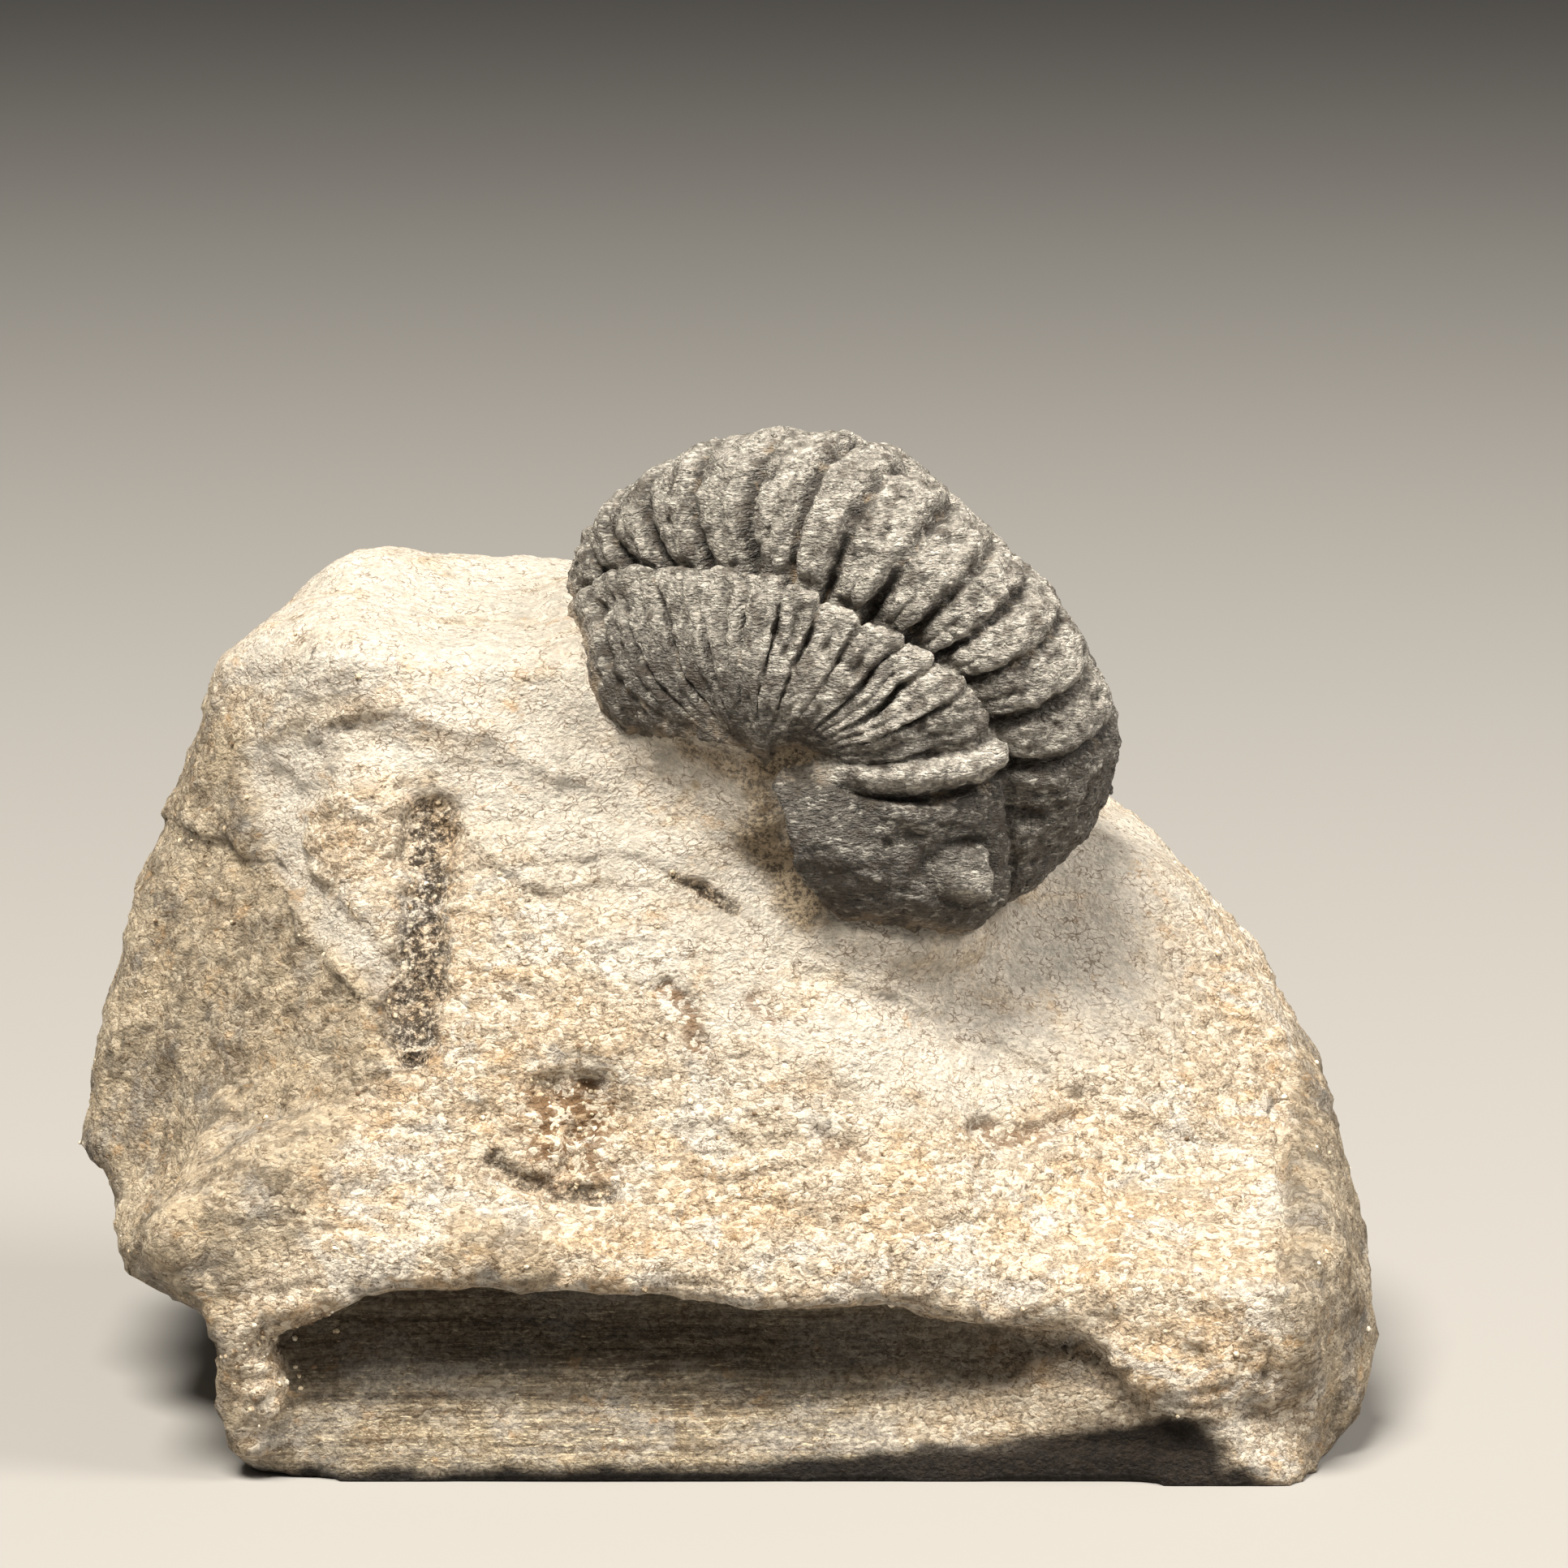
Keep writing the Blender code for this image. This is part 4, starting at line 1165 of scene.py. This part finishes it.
@dataclass
class Studio:
    """Pale floor, soft lights and the camera at the photograph's angle.

    Sizes are in metres and angles in degrees. Only the sensor and the target are in
    millimetres, the target in the frame of the curl. Each light has its name, place, size,
    power and tint.
    """

    target: tuple = (3.9, -4.0, 33.8)
    elevation: float = 10.0
    distance: float = 0.300
    view_width: float = 0.0785
    lights: tuple = (
        ("key", (-0.19, -0.38, 0.90), 0.42, 25.5, (1.0, 0.95, 0.86)),
        ("side", (0.36, -0.14, 0.36), 0.22, 2.6, (1.0, 0.95, 0.88)),
    )
    lit_point: tuple = (0, 0, 0.025)
    sky: tuple = (0.80, 0.79, 0.77, 1)
    sky_strength: float = 0.12
    sensor: float = 36.0
    floor_reach: float = 3.0

    def front_view(self, points: Array) -> tuple[Array, Array]:
        """Places of points in the camera's view.

        Args:
            points: Points in millimetres, in the frame of the curl.

        Returns:
            Millimetres to the right of the middle of the view, and above it, in the plane
            of the target.
        """
        tilt, reach = math.radians(self.elevation), self.distance / MM
        away = points - np.array(self.target)
        depth = reach + away @ np.array((0.0, math.cos(tilt), -math.sin(tilt)))
        above = away @ np.array((0.0, math.sin(tilt), math.cos(tilt)))
        return away[..., 0] * reach / depth, above * reach / depth

    def build(self, floor_finish: Material) -> None:
        """Make the floor, world, lights and camera.

        Args:
            floor_finish: Material of the floor.
        """
        corners = np.array(((-1, -1, 0), (1, -1, 0), (1, 1, 0), (-1, 1, 0))) * self.floor_reach
        floor = new_mesh_object("studio_floor", corners, [(0, 1, 2, 3)])
        floor.data.materials.append(floor_finish)
        scene = bpy.context.scene
        target = Vector((np.array(self.target) + FRAME_SHIFT) * MM)
        for name, place, size, power, tint in self.lights:
            lamp = bpy.data.lights.new(name, "AREA")
            lamp.shape, lamp.size, lamp.energy, lamp.color = "DISK", size, power, tint
            light = link_object(name, lamp)
            light.location = Vector(place)
            back = light.location - Vector(self.lit_point)
            light.rotation_euler = back.to_track_quat("Z", "Y").to_euler()
        world = bpy.data.worlds.new("studio")
        world.use_nodes = True
        sky = world.node_tree.nodes["Background"]
        sky.inputs["Color"].default_value = self.sky
        sky.inputs["Strength"].default_value = self.sky_strength
        scene.world = world
        scene.view_settings.view_transform = "Standard"
        lens = bpy.data.cameras.new("camera")
        lens.sensor_width = self.sensor
        lens.lens = self.sensor * self.distance / self.view_width
        lens.clip_start, lens.clip_end = 0.01, 20.0
        camera = link_object("camera", lens)
        tilt = math.radians(self.elevation)
        camera.location = target + Vector((0, -math.cos(tilt), math.sin(tilt))) * self.distance
        camera.rotation_euler = Euler((math.radians(90) - tilt, 0, 0))
        scene.camera = camera


def mark_dust(shell: Object, block: Object, near: float = 0.0013) -> None:
    """Store how close each point of the shell is to the block, for the sediment there.

    Args:
        shell: The finished shell.
        block: The finished block.
        near: Distance in metres at which no sediment is left.
    """
    gap = distances(read_rows(shell.data.vertices), block, 3 * near)
    set_zone(shell.data, Zone.DUST, 1 - fade(gap, 0.0, near))


def mark_granules(shell: Object, stations: ShellStations) -> None:
    """Store where the shell bears granules: the glabella, and thinly the rings.

    Args:
        shell: The finished shell.
        stations: The curl that it was lofted on.
    """
    points = read_rows(shell.data.vertices) / MM - FRAME_SHIFT - np.array(stations.centre)
    right, up, across = (points @ np.array(axis) for axis in (stations.right, stations.up, stations.near))
    phi = np.degrees(np.arctan2(up, right))
    phi = np.where(phi < -100, phi + 360, phi)
    radius = np.hypot(right, up)
    on_axis = 1 - fade(np.abs(across), 4.6, 5.4)
    glabella = on_axis * (1 - fade(phi, 18, 26)) * fade(radius, 10.5, 12.5)
    rings = 0.16 * on_axis * fade(radius, 8.0, 9.5)
    set_zone(shell.data, Zone.DENSITY, np.clip(glabella + rings, 0, 1))


def settle(piece: Object, slot: str, *nodes: str) -> None:
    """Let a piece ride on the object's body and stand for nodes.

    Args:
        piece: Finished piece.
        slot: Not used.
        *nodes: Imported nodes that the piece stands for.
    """
    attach(piece, "root")
    if nodes:
        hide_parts(*nodes)
    LOG.info("%s: %d faces", piece.name, len(piece.data.polygons))


def main() -> None:
    """Build the fossil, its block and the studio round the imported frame."""
    logging.basicConfig(level=logging.INFO, format="%(name)s %(message)s")
    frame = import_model()
    calcite, limestone = DarkCalcite().build(), Limestone().build()

    maker = TrilobiteShell()
    shell = maker.build(calcite)
    mark_granules(shell, maker.stations)
    studio = Studio()
    block = LimestoneBlock().build(frame["nodes"]["limestone_matrix"], shell, studio, limestone)
    mark_dust(shell, block)
    granules = Scatter("shell_granules", density=1.5e6, small=0.00008, large=0.00020, flatness=0.6,
                       divisions=2, seed=8).build(shell, calcite)
    grains = Scatter("block_grains", density=2.6e6, small=0.00006, large=0.00018, flatness=0.9,
                     divisions=1, seed=15).build(block, SparGrains().build())
    studio.build(PaleFloor().build())

    settle(shell, "dark_calcite", "trilobite")
    settle(block, "limestone", "limestone_matrix")
    settle(granules, "dark_calcite")
    settle(grains, "limestone")


if __name__ == "__main__":
    main()
